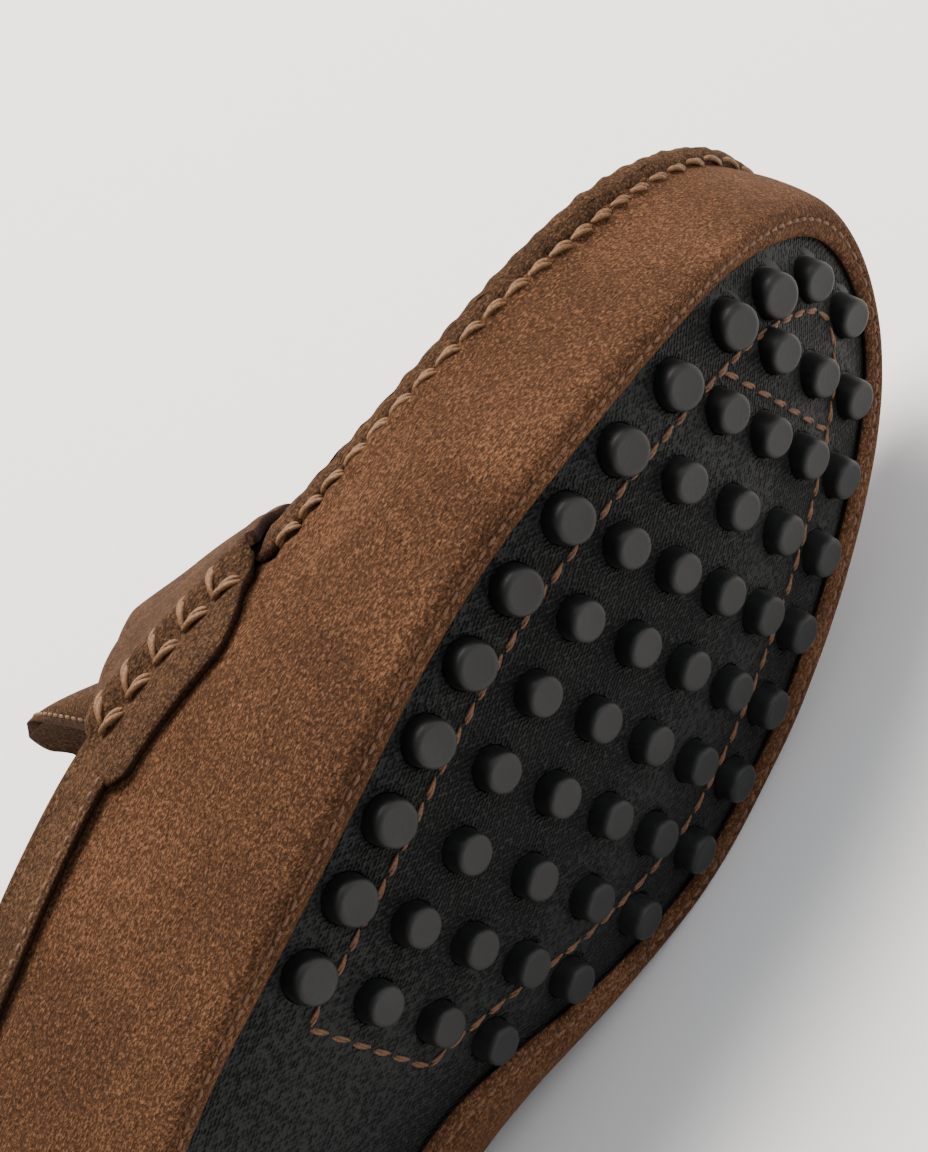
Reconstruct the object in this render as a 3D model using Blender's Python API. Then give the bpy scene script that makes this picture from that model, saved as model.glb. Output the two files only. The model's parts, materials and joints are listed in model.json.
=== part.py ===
"""A driving moccasin for the right foot, lying on its inner side.

The shoe is worked out in its own frame first, in metres: +Y runs from the heel to
the toe, +X to the outer side of the foot, +Z up, and the stud tips of the middle
of the sole stand on z = 0. At the end the whole shoe is laid down on its inner
side, on the three points that its outline rests on.
"""
import math

import bmesh
import bpy
from mathutils import Matrix, Vector
from mathutils.geometry import delaunay_2d_cdt

# Driving sizes of the last, which is the inner face of the upper
LAST_LENGTH = 0.2840
LAST_BALL_WIDTH = 0.0955
LAST_HEEL_BACK = -0.0072
LAST_BULGE_RISE = 0.0140
TOE_LEAN = -0.0050
LOWER_CURVE_POWER = 0.85
SIDE_ARC = math.radians(62.0)
CROWN_POWER = 2.4

# The window in the upper's underside, through which the sole sheet shows
WINDOW_LENGTH = LAST_LENGTH - 0.0140
WINDOW_BALL_WIDTH = LAST_BALL_WIDTH - 0.0115

# The top edge: the moccasin seam in front, the collar's edge behind
RIM_LENGTH = LAST_LENGTH - 0.0090
RIM_WIDTH = LAST_BALL_WIDTH - 0.0105
RIM_HEEL_BACK = 0.0010
SEAM_HEIGHT = 0.0430
COLLAR_HEIGHT = 0.0640
TOE_SEAM_HEIGHT = 0.0505
INSTEP_CROWN = 0.0330

# Leather and rubber
UPPER_WALL = 0.0018
SEAM_RAISE = 0.0016
SEAM_WIDTH = 0.0042
SEAM_FADE_START = 0.0140
SEAM_FADE_LENGTH = 0.0120
SEAM_INNER_SHARE = 0.55
SEAM_ROW_SHARES = (0.15, 0.07)
STRAP_THICKNESS = 0.0022
BAND_THICKNESS = 0.0014
TONGUE_THICKNESS = 0.0020
SHEET_THICKNESS = 0.0016
PAD_THICKNESS = 0.0015
INSOLE_THICKNESS = 0.0022
LAYER_GAP = 0.0004
INSOLE_GAP = 0.0008
INSOLE_REACH = 0.50
WAIST_STEP = 0.0120
SKIN_GAP = 0.0003

# Sole surface
STUD_HEIGHT = 0.0032
SOLE_ROUND_RADIUS = 0.1500
TOE_SPRING = 0.0215
TOE_SPRING_START = 0.687 * LAST_LENGTH
ARCH_RISE = 0.0040
ARCH_MIDDLE = 0.335 * LAST_LENGTH
ARCH_HALF_LENGTH = 0.194 * LAST_LENGTH
SHEET_LAP = 0.0030
LAP_CLEARANCE = 0.0007

# Studs
STUD_RADIUS = 0.0041
STUD_SHOULDER_RADIUS = 0.0039
STUD_TIP_RADIUS = 0.0029
STUD_SHOULDER_HEIGHT = 0.0024
STUD_SIDES = 8
STUD_HOLE_CLEARANCE = 0.0003
STUD_EDGE_INSET = 0.0066
STUD_ROW_PITCH = 0.0493 * LAST_LENGTH
STUD_ROW_SLANT = math.radians(12.0)
FIRST_ROW_Y = 0.4239 * LAST_LENGTH
FOREFOOT_ROWS = (4, 5, 5, 6, 6, 6, 6, 5, 5, 4)
TOE_STUDS = 3
HEEL_FIRST_ROW_Y = 0.0423 * LAST_LENGTH
HEEL_ROWS = (3, 4, 4, 4, 4)
HEEL_ROW_PITCH = 0.0479 * LAST_LENGTH
PAD_EDGE_INSET = 0.0010
PAD_END_MARGIN = 0.0085

# Throat, tongue and strap
THROAT_Y = 0.5845 * LAST_LENGTH
THROAT_GAP = 0.0006
TONGUE_LENGTH = 0.0340
TONGUE_WIDTH = 0.586 * LAST_BALL_WIDTH
TONGUE_RISE = 0.0100
TONGUE_FLANK_DROP = 0.0120
TONGUE_LIFT_START = 0.30
TONGUE_TIP_START = 0.55
TONGUE_TIP_NARROWING = 0.72
TONGUE_EDGE_LEAN = 0.10
STRAP_FRONT_MIDDLE = 0.6514 * LAST_LENGTH
STRAP_BACK_MIDDLE = 0.5493 * LAST_LENGTH
STRAP_FRONT_END = 0.5915 * LAST_LENGTH
STRAP_BACK_END = 0.4472 * LAST_LENGTH
STRAP_DROP = 0.0145
STRAP_RIM_SHARE = 0.80
STRAP_FLARE_START = 0.45
STRAP_RIDGE_SHARE = 0.16
STRAP_CLEARANCE = 0.0004
SLOT_LENGTH = 0.0200
SLOT_WIDTH = 0.0050
SLOT_FRONT_SHARE = 0.42
SLOT_SIDES = 12
SLOT_CUT_REACH = 0.0120
BAND_DEPTH = 0.0130
BAND_FRONT_Y = 0.4366 * LAST_LENGTH

# How finely the surfaces are divided
RING_STEPS = 26
LOWER_STEPS = 5
SIDE_STEPS = 4
APRON_COLUMNS = 10
TONGUE_ROWS = 9
TONGUE_COLUMNS = 9
STRAP_ROWS = 6
STRAP_COLUMNS = 25
BAND_ROWS = 4
BAND_COLUMNS = 41
OUTLINE_STEPS = 30
LONGEST_EDGE = 0.0140

# The window's outline: share along its length, then the reach to the outer and to
# the inner side as shares of its ball width, from the line heel middle to toe tip
WINDOW_SECTIONS = (
    # along, outer, inner
    (0.11, 0.380, 0.362),
    (0.20, 0.398, 0.300),
    (0.27, 0.425, 0.190),
    (0.34, 0.458, 0.115),
    (0.40, 0.483, 0.115),
    (0.46, 0.520, 0.187),
    (0.54, 0.565, 0.325),
    (0.62, 0.585, 0.415),
    (0.70, 0.580, 0.396),
    (0.78, 0.540, 0.325),
    (0.86, 0.453, 0.270),
    (0.93, 0.325, 0.225),
)

# The last's widest outline, in shares of its length and ball width
LAST_SECTIONS = (
    # along, outer, inner
    (0.10, 0.340, 0.335),
    (0.22, 0.386, 0.350),
    (0.33, 0.437, 0.330),
    (0.43, 0.487, 0.335),
    (0.53, 0.543, 0.372),
    (0.62, 0.567, 0.416),
    (0.70, 0.558, 0.402),
    (0.78, 0.508, 0.354),
    (0.86, 0.416, 0.300),
    (0.93, 0.290, 0.244),
)

# The rim's outline in shares of its length and width; its height as a share of the
# way from the seam's lowest height to the collar's; the crown of what spans it as
# a share of the instep's crown
RIM_SECTIONS = (
    # along, outer, inner, rise, crown
    (0.08, 0.285, 0.276, 1.06, 1.50),
    (0.18, 0.372, 0.355, 0.92, 1.45),
    (0.29, 0.455, 0.408, 0.94, 1.40),
    (0.40, 0.506, 0.420, 1.04, 1.30),
    (0.47, 0.530, 0.425, 1.00, 1.24),
    (0.54, 0.547, 0.431, 0.74, 1.14),
    (0.61, 0.555, 0.440, 0.43, 1.00),
    (0.70, 0.560, 0.440, 0.13, 0.70),
    (0.78, 0.543, 0.405, 0.00, 0.49),
    (0.86, 0.486, 0.352, 0.02, 0.33),
    (0.93, 0.376, 0.275, 0.13, 0.18),
)
HEEL_RISE = 1.20


def spline_through(rows, column, at):
    """The smooth curve through one column of a table, read at one share."""
    keys = [row[0] for row in rows]
    values = [row[column] for row in rows]
    if at <= keys[0]:
        return values[0]
    if at >= keys[-1]:
        return values[-1]
    i = 0
    while at > keys[i + 1]:
        i += 1

    def slope(k):
        if k == 0 or k == len(keys) - 1:
            a, b = max(k - 1, 0), min(k + 1, len(keys) - 1)
        else:
            a, b = k - 1, k + 1
        return (values[b] - values[a]) / (keys[b] - keys[a])

    span = keys[i + 1] - keys[i]
    t = (at - keys[i]) / span
    m0, m1 = slope(i) * span, slope(i + 1) * span
    return ((2 * t ** 3 - 3 * t ** 2 + 1) * values[i] + (t ** 3 - 2 * t ** 2 + t) * m0
            + (3 * t ** 2 - 2 * t ** 3) * values[i + 1] + (t ** 3 - t ** 2) * m1)


def roundness(share):
    """Half-width of a unit circle at a share of its length, for round ends."""
    return 2.0 * math.sqrt(max(share * (1.0 - share), 0.0))


def with_round_ends(sections, heel_fullness, toe_fullness):
    """Divides the widths by a circle's, so that both ends close round."""
    rows = []
    for row in sections:
        rows.append((row[0], row[1] / roundness(row[0]), row[2] / roundness(row[0])))
    first = (0.0, heel_fullness, heel_fullness)
    last = (1.0, toe_fullness, toe_fullness)
    return [first] + rows + [last]


WINDOW_ROWS = with_round_ends(WINDOW_SECTIONS, 0.66, 0.56)
LAST_ROWS = with_round_ends(LAST_SECTIONS, 0.60, 0.56)
RIM_ROWS = with_round_ends(RIM_SECTIONS, 0.54, 0.70)
RIM_RISE = [(0.0, HEEL_RISE)] + [(row[0], row[3]) for row in RIM_SECTIONS]
RIM_RISE.append((1.0, (TOE_SEAM_HEIGHT - SEAM_HEIGHT) / (COLLAR_HEIGHT - SEAM_HEIGHT)))
RIM_CROWN = [(0.0, 1.5)] + [(row[0], row[4]) for row in RIM_SECTIONS] + [(1.0, 0.0)]


def outline_point(rows, turn, back, length, width):
    """A point of a closed outline. Turn 0 is the heel, 0.25 the outer side,
    0.5 the toe and 0.75 the inner side."""
    outer = turn <= 0.5
    half_turn = turn if outer else 1.0 - turn
    share = (1.0 - math.cos(2.0 * math.pi * half_turn)) / 2.0
    reach = spline_through(rows, 1 if outer else 2, share)
    side = 1.0 if outer else -1.0
    middle = TOE_LEAN * share
    x = middle + side * reach * roundness(share) * width
    return Vector((x, back + length * share))


def window_point(turn):
    return outline_point(WINDOW_ROWS, turn, 0.0, WINDOW_LENGTH, WINDOW_BALL_WIDTH)


def last_point(turn):
    return outline_point(LAST_ROWS, turn, LAST_HEEL_BACK, LAST_LENGTH, LAST_BALL_WIDTH)


def rim_point(turn):
    return outline_point(RIM_ROWS, turn, RIM_HEEL_BACK, RIM_LENGTH, RIM_WIDTH)


def rim_share(turn):
    half_turn = min(turn, 1.0 - turn)
    return (1.0 - math.cos(2.0 * math.pi * half_turn)) / 2.0


def rim_height(turn):
    rise = spline_through(RIM_RISE, 1, rim_share(turn))
    return SEAM_HEIGHT + rise * (COLLAR_HEIGHT - SEAM_HEIGHT)


def turn_at_rim_y(y):
    """The turn on the outer side at which the rim has this y."""
    share = min(max((y - RIM_HEEL_BACK) / RIM_LENGTH, 0.0), 1.0)
    return math.acos(1.0 - 2.0 * share) / (2.0 * math.pi)


def sole_middle(y):
    """The line along which the sole is lowest."""
    share = min(max(y / WINDOW_LENGTH, 0.0), 1.0)
    outer = spline_through(WINDOW_ROWS, 1, share)
    inner = spline_through(LAST_ROWS, 2, share)
    return TOE_LEAN * share + (outer - inner) * roundness(share) * WINDOW_BALL_WIDTH / 2.0


def sole_height(x, y):
    """Height of the sheet's lower face: round across, raised at toe and arch."""
    across = (x - sole_middle(y)) ** 2 / (2.0 * SOLE_ROUND_RADIUS)
    run = max(y - TOE_SPRING_START, 0.0) / (WINDOW_LENGTH - TOE_SPRING_START)
    toe = TOE_SPRING * run ** 2
    off_arch = (y - ARCH_MIDDLE) / ARCH_HALF_LENGTH
    arch = ARCH_RISE * math.cos(off_arch * math.pi / 2.0) ** 2 if abs(off_arch) < 1.0 else 0.0
    return STUD_HEIGHT + across + toe + arch


def lap_point(turn, reach):
    """A point outward of the window's edge, towards the last's outline."""
    start = window_point(turn)
    way = last_point(turn) - start
    return start + way.normalized() * reach


def wall_point(turn, up):
    """The inner face of the upper's side. Up 0 is the window's edge, 1 the lap's
    end, 2 the widest line and 3 the rim."""
    lap = SHEET_LAP + LAP_CLEARANCE
    if up <= 1.0:
        flat = lap_point(turn, lap * up)
        return Vector((flat.x, flat.y, sole_height(flat.x, flat.y) - LAYER_GAP))
    widest = last_point(turn)
    widest_z = sole_height(widest.x, widest.y) + LAST_BULGE_RISE
    if up <= 2.0:
        foot = lap_point(turn, lap)
        foot_z = sole_height(foot.x, foot.y) - LAYER_GAP
        angle = (up - 1.0) * math.pi / 2.0
        flat = foot.lerp(widest, math.sin(angle) ** LOWER_CURVE_POWER)
        return Vector((flat.x, flat.y, foot_z + (widest_z - foot_z) * (1.0 - math.cos(angle))))
    top = rim_point(turn)
    angle = (up - 2.0) * SIDE_ARC
    flat = widest.lerp(top, (1.0 - math.cos(angle)) / (1.0 - math.cos(SIDE_ARC)))
    share = math.sin(angle) / math.sin(SIDE_ARC)
    return Vector((flat.x, flat.y, widest_z + (rim_height(turn) - widest_z) * share))


def top_point(turn, across):
    """The inner face of what spans the rim. Turn is the outer rim's, across runs
    from -1 on the outer rim to 1 on the inner one."""
    outer = wall_point(turn, 3.0)
    inner = wall_point(1.0 - turn, 3.0)
    place = outer.lerp(inner, (across + 1.0) / 2.0)
    crown = INSTEP_CROWN * spline_through(RIM_CROWN, 1, rim_share(turn))
    place.z += crown * (1.0 - abs(across) ** CROWN_POWER)
    return place


def face_normal(surface, u, v, step_u, step_v, inside):
    """Unit normal of a surface at (u, v), pointing away from a point inside."""
    du = surface(u + step_u, v) - surface(u - step_u, v)
    dv = surface(u, v + step_v) - surface(u, v - step_v)
    normal = du.cross(dv).normalized()
    if normal.dot(surface(u, v) - inside) < 0.0:
        normal.negate()
    return normal


def new_object(name, mesh_maker, material):
    """Makes an object from a function that fills a bmesh."""
    bm = bmesh.new()
    mesh_maker(bm)
    bmesh.ops.recalc_face_normals(bm, faces=bm.faces)
    mesh = bpy.data.meshes.new(name)
    bm.to_mesh(mesh)
    bm.free()
    mesh.shade_smooth()
    mesh.set_sharp_from_angle(angle=math.radians(40.0))
    mesh.materials.append(material)
    piece = bpy.data.objects.new(name, mesh)
    bpy.context.scene.collection.objects.link(piece)
    return piece


def surface_material(name, colour, roughness):
    material = bpy.data.materials.new(name)
    material.use_nodes = True
    shader = material.node_tree.nodes["Principled BSDF"]
    shader.inputs["Base Color"].default_value = (*colour, 1.0)
    shader.inputs["Roughness"].default_value = roughness
    shader.inputs["Metallic"].default_value = 0.0
    return material


def ring_turns():
    """Turns of the ring's columns, the same on both sides of the toe."""
    half = [0.5 * i / RING_STEPS for i in range(RING_STEPS + 1)]
    return half + [1.0 - t for t in reversed(half[1:-1])]


def wall_ups():
    """Rows of the side: window edge, lap, lower curve, side, seam ridge."""
    ups = [0.0, 1.0]
    ups += [1.0 + (i + 1) / LOWER_STEPS for i in range(LOWER_STEPS)]
    side = 1.0 - SEAM_ROW_SHARES[0]
    ups += [2.0 + side * (i + 1) / SIDE_STEPS for i in range(SIDE_STEPS)]
    return ups + [3.0 - SEAM_ROW_SHARES[1], 3.0]


def ridge_raise(distance, turn):
    """Raise of the seam ridge at a distance from the rim, none at the collar."""
    along = rim_point(turn).y
    fade = min(max((along - THROAT_Y + SEAM_FADE_START) / SEAM_FADE_LENGTH, 0.0), 1.0)
    if distance >= SEAM_WIDTH:
        return 0.0
    return SEAM_RAISE * fade * math.cos(distance / SEAM_WIDTH * math.pi / 2.0)


def build_upper(bm):
    """Side and apron as one hollow solid, open at the collar and underneath."""
    turns = ring_turns()
    count = len(turns)
    ups = wall_ups()
    grid = [[bm.verts.new(wall_point(t, u)) for u in ups] for t in turns]
    distance = {}
    for column, t in zip(grid, turns):
        rim = column[-1].co
        for vert in column:
            distance[vert] = ((vert.co - rim).length, t)
    for i in range(count):
        here, there = grid[i], grid[(i + 1) % count]
        for k in range(len(ups) - 1):
            bm.faces.new((here[k], there[k], there[k + 1], here[k + 1]))

    throat = RING_STEPS
    while rim_point(turns[throat - 1]).y > THROAT_Y:
        throat -= 1
    rows = []
    for i in range(RING_STEPS - 1, throat - 1, -1):
        outer, inner = grid[i][-1], grid[(count - i) % count][-1]
        span = (inner.co - outer.co).length
        edge_share = min(SEAM_INNER_SHARE * SEAM_WIDTH / span, 0.2) * 2.0
        shares = [-1.0 + edge_share, -1.0 + 2.1 * edge_share]
        inner_columns = APRON_COLUMNS - 5
        room = 2.0 - 4.2 * edge_share
        shares += [shares[1] + room * (c + 1) / (inner_columns + 1) for c in range(inner_columns)]
        shares += [1.0 - 2.1 * edge_share, 1.0 - edge_share]
        row = [outer]
        for share in shares:
            vert = bm.verts.new(top_point(turns[i], share))
            near = min((vert.co - outer.co).length, (vert.co - inner.co).length)
            distance[vert] = (near, turns[i])
            row.append(vert)
        row.append(inner)
        rows.append(row)
    toe = grid[RING_STEPS][-1]
    first = rows[0]
    for a, b in zip(first, first[1:]):
        bm.faces.new((toe, a, b))
    for near, far in zip(rows, rows[1:]):
        for c in range(len(near) - 1):
            bm.faces.new((near[c], near[c + 1], far[c + 1], far[c]))

    bmesh.ops.recalc_face_normals(bm, faces=bm.faces)
    bm.normal_update()
    if grid[RING_STEPS // 2][3].normal.x < 0.0:
        bmesh.ops.reverse_faces(bm, faces=bm.faces)
    bm.normal_update()
    thicken(bm, lambda v: UPPER_WALL + ridge_raise(*distance[v]))


def thicken(bm, thickness_of):
    """Gives an open sheet its thickness on the side that its normals point to."""
    inner_faces = list(bm.faces)
    verts = list(bm.verts)
    outward = {}
    for vert in verts:
        factor = min(vert.calc_shell_factor(), 1.6)
        outward[vert] = vert.co + vert.normal * (thickness_of(vert) * factor)
    rims = [edge for edge in bm.edges if edge.is_boundary]
    rim_pairs = [(edge.verts[0], edge.verts[1]) for edge in rims]
    twin = {vert: bm.verts.new(place) for vert, place in outward.items()}
    for face in inner_faces:
        bm.faces.new([twin[v] for v in face.verts])
    for a, b in rim_pairs:
        bm.faces.new((a, b, twin[b], twin[a]))
    bmesh.ops.reverse_faces(bm, faces=inner_faces)


def closed_outline(point_at, steps):
    """Points around a closed outline, denser at its round ends."""
    return [point_at(i / (2.0 * steps)) for i in range(2 * steps)]


def inset_outline(points, inset):
    """Moves each point of a closed outline inward along its corner's normal."""
    moved = []
    count = len(points)
    for i, here in enumerate(points):
        way = (points[(i + 1) % count] - points[i - 1]).normalized()
        inward = Vector((-way.y, way.x))
        moved.append(here + inward * inset)
    return moved


def clip_outline(points, anchor, keep):
    """Keeps the part of a closed outline on one side of a straight cut."""
    kept = []
    for here, there in zip(points, points[1:] + points[:1]):
        a, b = (here - anchor).dot(keep), (there - anchor).dot(keep)
        if a >= 0.0:
            kept.append(here)
        if a * b < 0.0:
            kept.append(here.lerp(there, a / (a - b)))
    return kept


def with_short_edges(points, longest):
    """Adds points along a closed outline's long straight edges."""
    dense = []
    for here, there in zip(points, points[1:] + points[:1]):
        parts = max(1, math.ceil((there - here).length / longest))
        dense += [here.lerp(there, k / parts) for k in range(parts)]
    return dense


def circle_points(centre, radius):
    return [centre + Vector((math.cos(a), math.sin(a))) * radius for a in
            (2.0 * math.pi * (k + 0.5) / STUD_SIDES for k in range(STUD_SIDES))]


def is_inside(point, outline):
    """Even-odd test of a point in a closed outline."""
    inside = False
    for a, b in zip(outline, outline[1:] + outline[:1]):
        if (a.y > point.y) != (b.y > point.y):
            if point.x < a.x + (point.y - a.y) * (b.x - a.x) / (b.y - a.y):
                inside = not inside
    return inside


def fill_outline(outline, holes, extra=()):
    """Triangles of a flat outline with holes. Returns points and triangles."""
    points = list(outline)
    edges = [(i, (i + 1) % len(outline)) for i in range(len(outline))]
    for hole in holes:
        start = len(points)
        points += hole
        edges += [(start + i, start + (i + 1) % len(hole)) for i in range(len(hole))]
    points += list(extra)
    flat, _, triangles, origins, _, _ = delaunay_2d_cdt(points, edges, [], 0, 1e-7)
    number = []
    for place, sources in zip(flat, origins):
        if not sources:
            points.append(place)
        number.append(sources[0] if sources else len(points) - 1)
    kept = []
    for triangle in triangles:
        middle = sum((flat[k] for k in triangle), Vector((0.0, 0.0))) / 3.0
        if is_inside(middle, outline) and not any(is_inside(middle, hole) for hole in holes):
            kept.append([number[k] for k in triangle])
    return points, kept


def boundary_edges(faces):
    """Edges that belong to one face of the set only."""
    seen = {}
    for face in faces:
        for edge in face.edges:
            seen[edge] = seen.get(edge, 0) + 1
    return [edge for edge, uses in seen.items() if uses == 1]


def row_line(y, slant):
    """Direction of a stud row that crosses the middle at y."""
    return Vector((0.0, y)), Vector((math.cos(slant), -math.sin(slant)))


def cross_outline(outline, anchor, way):
    """Where a line crosses a closed outline: its outer and its inner point."""
    hits = []
    side = Vector((-way.y, way.x))
    for a, b in zip(outline, outline[1:] + outline[:1]):
        da, db = (a - anchor).dot(side), (b - anchor).dot(side)
        if (da < 0.0) != (db < 0.0):
            hits.append(a.lerp(b, da / (da - db)))
    hits.sort(key=lambda hit: hit.dot(way))
    return hits[-1], hits[0]


def even_points(start, end, count):
    return [start.lerp(end, k / (count - 1)) for k in range(count)]


def points_along(path, count):
    """Points that part an open path into equal lengths, ends left out."""
    lengths = [0.0]
    for a, b in zip(path, path[1:]):
        lengths.append(lengths[-1] + (b - a).length)
    found = []
    for k in range(1, count + 1):
        want = lengths[-1] * k / (count + 1)
        i = 0
        while lengths[i + 1] < want:
            i += 1
        found.append(path[i].lerp(path[i + 1], (want - lengths[i]) / (lengths[i + 1] - lengths[i])))
    return found


def stud_places():
    """Middles of the forefoot's and of the heel's studs."""
    edge = closed_outline(window_point, 3 * OUTLINE_STEPS)
    ring = inset_outline(edge, STUD_EDGE_INSET)
    forefoot = []
    last_outer = last_inner = None
    for index, count in enumerate(FOREFOOT_ROWS):
        anchor, way = row_line(FIRST_ROW_Y + index * STUD_ROW_PITCH, STUD_ROW_SLANT)
        last_outer, last_inner = cross_outline(ring, anchor, way)
        forefoot += even_points(last_outer, last_inner, count)
    toe_arc = [p for p in ring if (p - last_outer).dot(Vector((-way.y, way.x))) > 0.0]
    toe_arc.sort(key=lambda p: -p.dot(way))
    forefoot += points_along([last_outer] + toe_arc + [last_inner], TOE_STUDS)
    heel = []
    for index, count in enumerate(HEEL_ROWS):
        anchor, way = row_line(HEEL_FIRST_ROW_Y + index * HEEL_ROW_PITCH, 0.0)
        outer, inner = cross_outline(ring, anchor, way)
        heel += even_points(outer, inner, count)
    return forefoot, heel


def build_sheet(bm, holes):
    """The sole sheet, lapped over the window's edge inside the upper."""
    outline = closed_outline(lambda t: lap_point(t, SHEET_LAP), OUTLINE_STEPS)
    flat, triangles = fill_outline(outline, holes)
    low = [bm.verts.new((p.x, p.y, sole_height(p.x, p.y))) for p in flat]
    high = [bm.verts.new((p.x, p.y, sole_height(p.x, p.y) + SHEET_THICKNESS)) for p in flat]
    lower_faces = []
    for triangle in triangles:
        lower_faces.append(bm.faces.new([low[k] for k in triangle]))
        bm.faces.new([high[k] for k in reversed(triangle)])
    twin = dict(zip(low, high))
    for edge in boundary_edges(lower_faces):
        a, b = edge.verts
        bm.faces.new((a, b, twin[b], twin[a]))


def stud_normal(place):
    """Downward normal of the sole surface under a stud."""
    step = 0.001
    slope_x = sole_height(place.x + step, place.y) - sole_height(place.x - step, place.y)
    slope_y = sole_height(place.x, place.y + step) - sole_height(place.x, place.y - step)
    return Vector((slope_x, slope_y, -2.0 * step)).normalized()


def pad_floor(point):
    """Lower face of the stud pads' plate, on top of the sheet."""
    return sole_height(point.x, point.y) + SHEET_THICKNESS + LAYER_GAP


def build_pad(bm, outline, studs):
    """A plate above the sheet with studs that reach down through its holes."""
    rings = [circle_points(place, STUD_RADIUS) for place in studs]
    flat, triangles = fill_outline(outline, rings)
    low = [bm.verts.new((p.x, p.y, pad_floor(p))) for p in flat]
    faces = [bm.faces.new([low[k] for k in triangle]) for triangle in triangles]
    rim_edges = set(boundary_edges(faces))
    start = len(outline)
    for index, place in enumerate(studs):
        root = low[start + index * STUD_SIDES:start + (index + 1) * STUD_SIDES]
        rim_edges -= {e for e in rim_edges if e.verts[0] in root and e.verts[1] in root}
        down = stud_normal(place)
        middle = Vector((place.x, place.y, sole_height(place.x, place.y)))
        side = Vector((1.0, 0.0, 0.0))
        side = (side - down * side.dot(down)).normalized()
        other = down.cross(side)
        previous = root
        levels = ((STUD_SHOULDER_HEIGHT, STUD_SHOULDER_RADIUS), (STUD_HEIGHT, STUD_TIP_RADIUS))
        for height, radius in levels:
            ring = []
            for k in range(STUD_SIDES):
                angle = 2.0 * math.pi * (k + 0.5) / STUD_SIDES
                spoke = side * math.cos(angle) - other * math.sin(angle)
                ring.append(bm.verts.new(middle + down * height + spoke * radius))
            for k in range(STUD_SIDES):
                n = (k + 1) % STUD_SIDES
                bm.faces.new((previous[k], previous[n], ring[n], ring[k]))
            previous = ring
        bm.faces.new(previous)
    top_flat, top_triangles = fill_outline(outline, [], studs)
    top = [bm.verts.new((p.x, p.y, pad_floor(p) + PAD_THICKNESS)) for p in top_flat]
    for triangle in top_triangles:
        bm.faces.new([top[k] for k in reversed(triangle)])
    twin = {low[i]: top[i] for i in range(len(outline))}
    for edge in rim_edges:
        a, b = edge.verts
        bm.faces.new((a, b, twin[b], twin[a]))


def build_insole(bm, studs):
    """A lining board over pads and sheet, inside the upper's lower curve. Its
    points over the studs match the pads' own."""
    def edge_point(turn):
        return window_point(turn).lerp(last_point(turn), INSOLE_REACH)

    outline = closed_outline(edge_point, OUTLINE_STEPS)
    waist_start = HEEL_FIRST_ROW_Y + len(HEEL_ROWS) * HEEL_ROW_PITCH
    waist_y = [waist_start + WAIST_STEP * k for k in range(3)]
    waist = [Vector((sole_middle(y) + side * WAIST_STEP, y)) for y in waist_y
             for side in (-0.8, 0.0, 0.8)]
    flat, triangles = fill_outline(outline, [], studs + waist)
    stack = SHEET_THICKNESS + PAD_THICKNESS + LAYER_GAP + INSOLE_GAP
    low = [bm.verts.new((p.x, p.y, sole_height(p.x, p.y) + stack)) for p in flat]
    high = [bm.verts.new(v.co + Vector((0.0, 0.0, INSOLE_THICKNESS))) for v in low]
    lower_faces = []
    for triangle in triangles:
        lower_faces.append(bm.faces.new([low[k] for k in triangle]))
        bm.faces.new([high[k] for k in reversed(triangle)])
    twin = dict(zip(low, high))
    for edge in boundary_edges(lower_faces):
        a, b = edge.verts
        bm.faces.new((a, b, twin[b], twin[a]))


def build_grid(bm, grid, outward):
    """An open sheet of quads, with its faces towards what outward measures."""
    rows = [[bm.verts.new(place) for place in row] for row in grid]
    for near, far in zip(rows, rows[1:]):
        for k in range(len(near) - 1):
            bm.faces.new((near[k], near[k + 1], far[k + 1], far[k]))
    bmesh.ops.recalc_face_normals(bm, faces=bm.faces)
    if sum(outward(face) for face in bm.faces) < 0.0:
        bmesh.ops.reverse_faces(bm, faces=bm.faces)
    bm.normal_update()


def tongue_place(along, across):
    """The tongue's lower face: the apron's run on to the back, then lifted."""
    y = THROAT_Y - THROAT_GAP - along * TONGUE_LENGTH
    turn = turn_at_rim_y(y)
    outer, inner = rim_point(turn).x, rim_point(1.0 - turn).x
    tip = max(along - TONGUE_TIP_START, 0.0) / (1.0 - TONGUE_TIP_START)
    half = TONGUE_WIDTH / 2.0 * math.sqrt(1.0 - TONGUE_TIP_NARROWING * tip ** 2.6)
    middle = (outer + inner) / 2.0
    x = middle + across * half
    share = (x - middle) / ((inner - outer) / 2.0)
    place = top_point(turn, share)
    lift = max(along - TONGUE_LIFT_START, 0.0) / (1.0 - TONGUE_LIFT_START)
    place.z += TONGUE_RISE * lift ** 1.6 - TONGUE_FLANK_DROP * along * abs(across) ** 2.4
    place.y += TONGUE_EDGE_LEAN * TONGUE_LENGTH * lift * abs(across) ** 3.0
    return place


def build_tongue(bm):
    grid = [[tongue_place(r / (TONGUE_ROWS - 1), -1.0 + 2.0 * c / (TONGUE_COLUMNS - 1))
             for c in range(TONGUE_COLUMNS)] for r in range(TONGUE_ROWS)]
    build_grid(bm, grid, lambda face: face.normal.z)
    thicken(bm, lambda v: TONGUE_THICKNESS)


def outer_skin(turn, place_up):
    """The upper's outer face. Place-up 0 is the widest line, 1 the outer rim, 2 the
    middle of the crown, 3 the inner rim and 4 the inner side's widest line."""
    if place_up < 1.0:
        return wall_point(turn, 2.0 + place_up)
    if place_up <= 3.0:
        return top_point(turn, place_up - 2.0)
    return wall_point(1.0 - turn, 6.0 - place_up)


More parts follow.
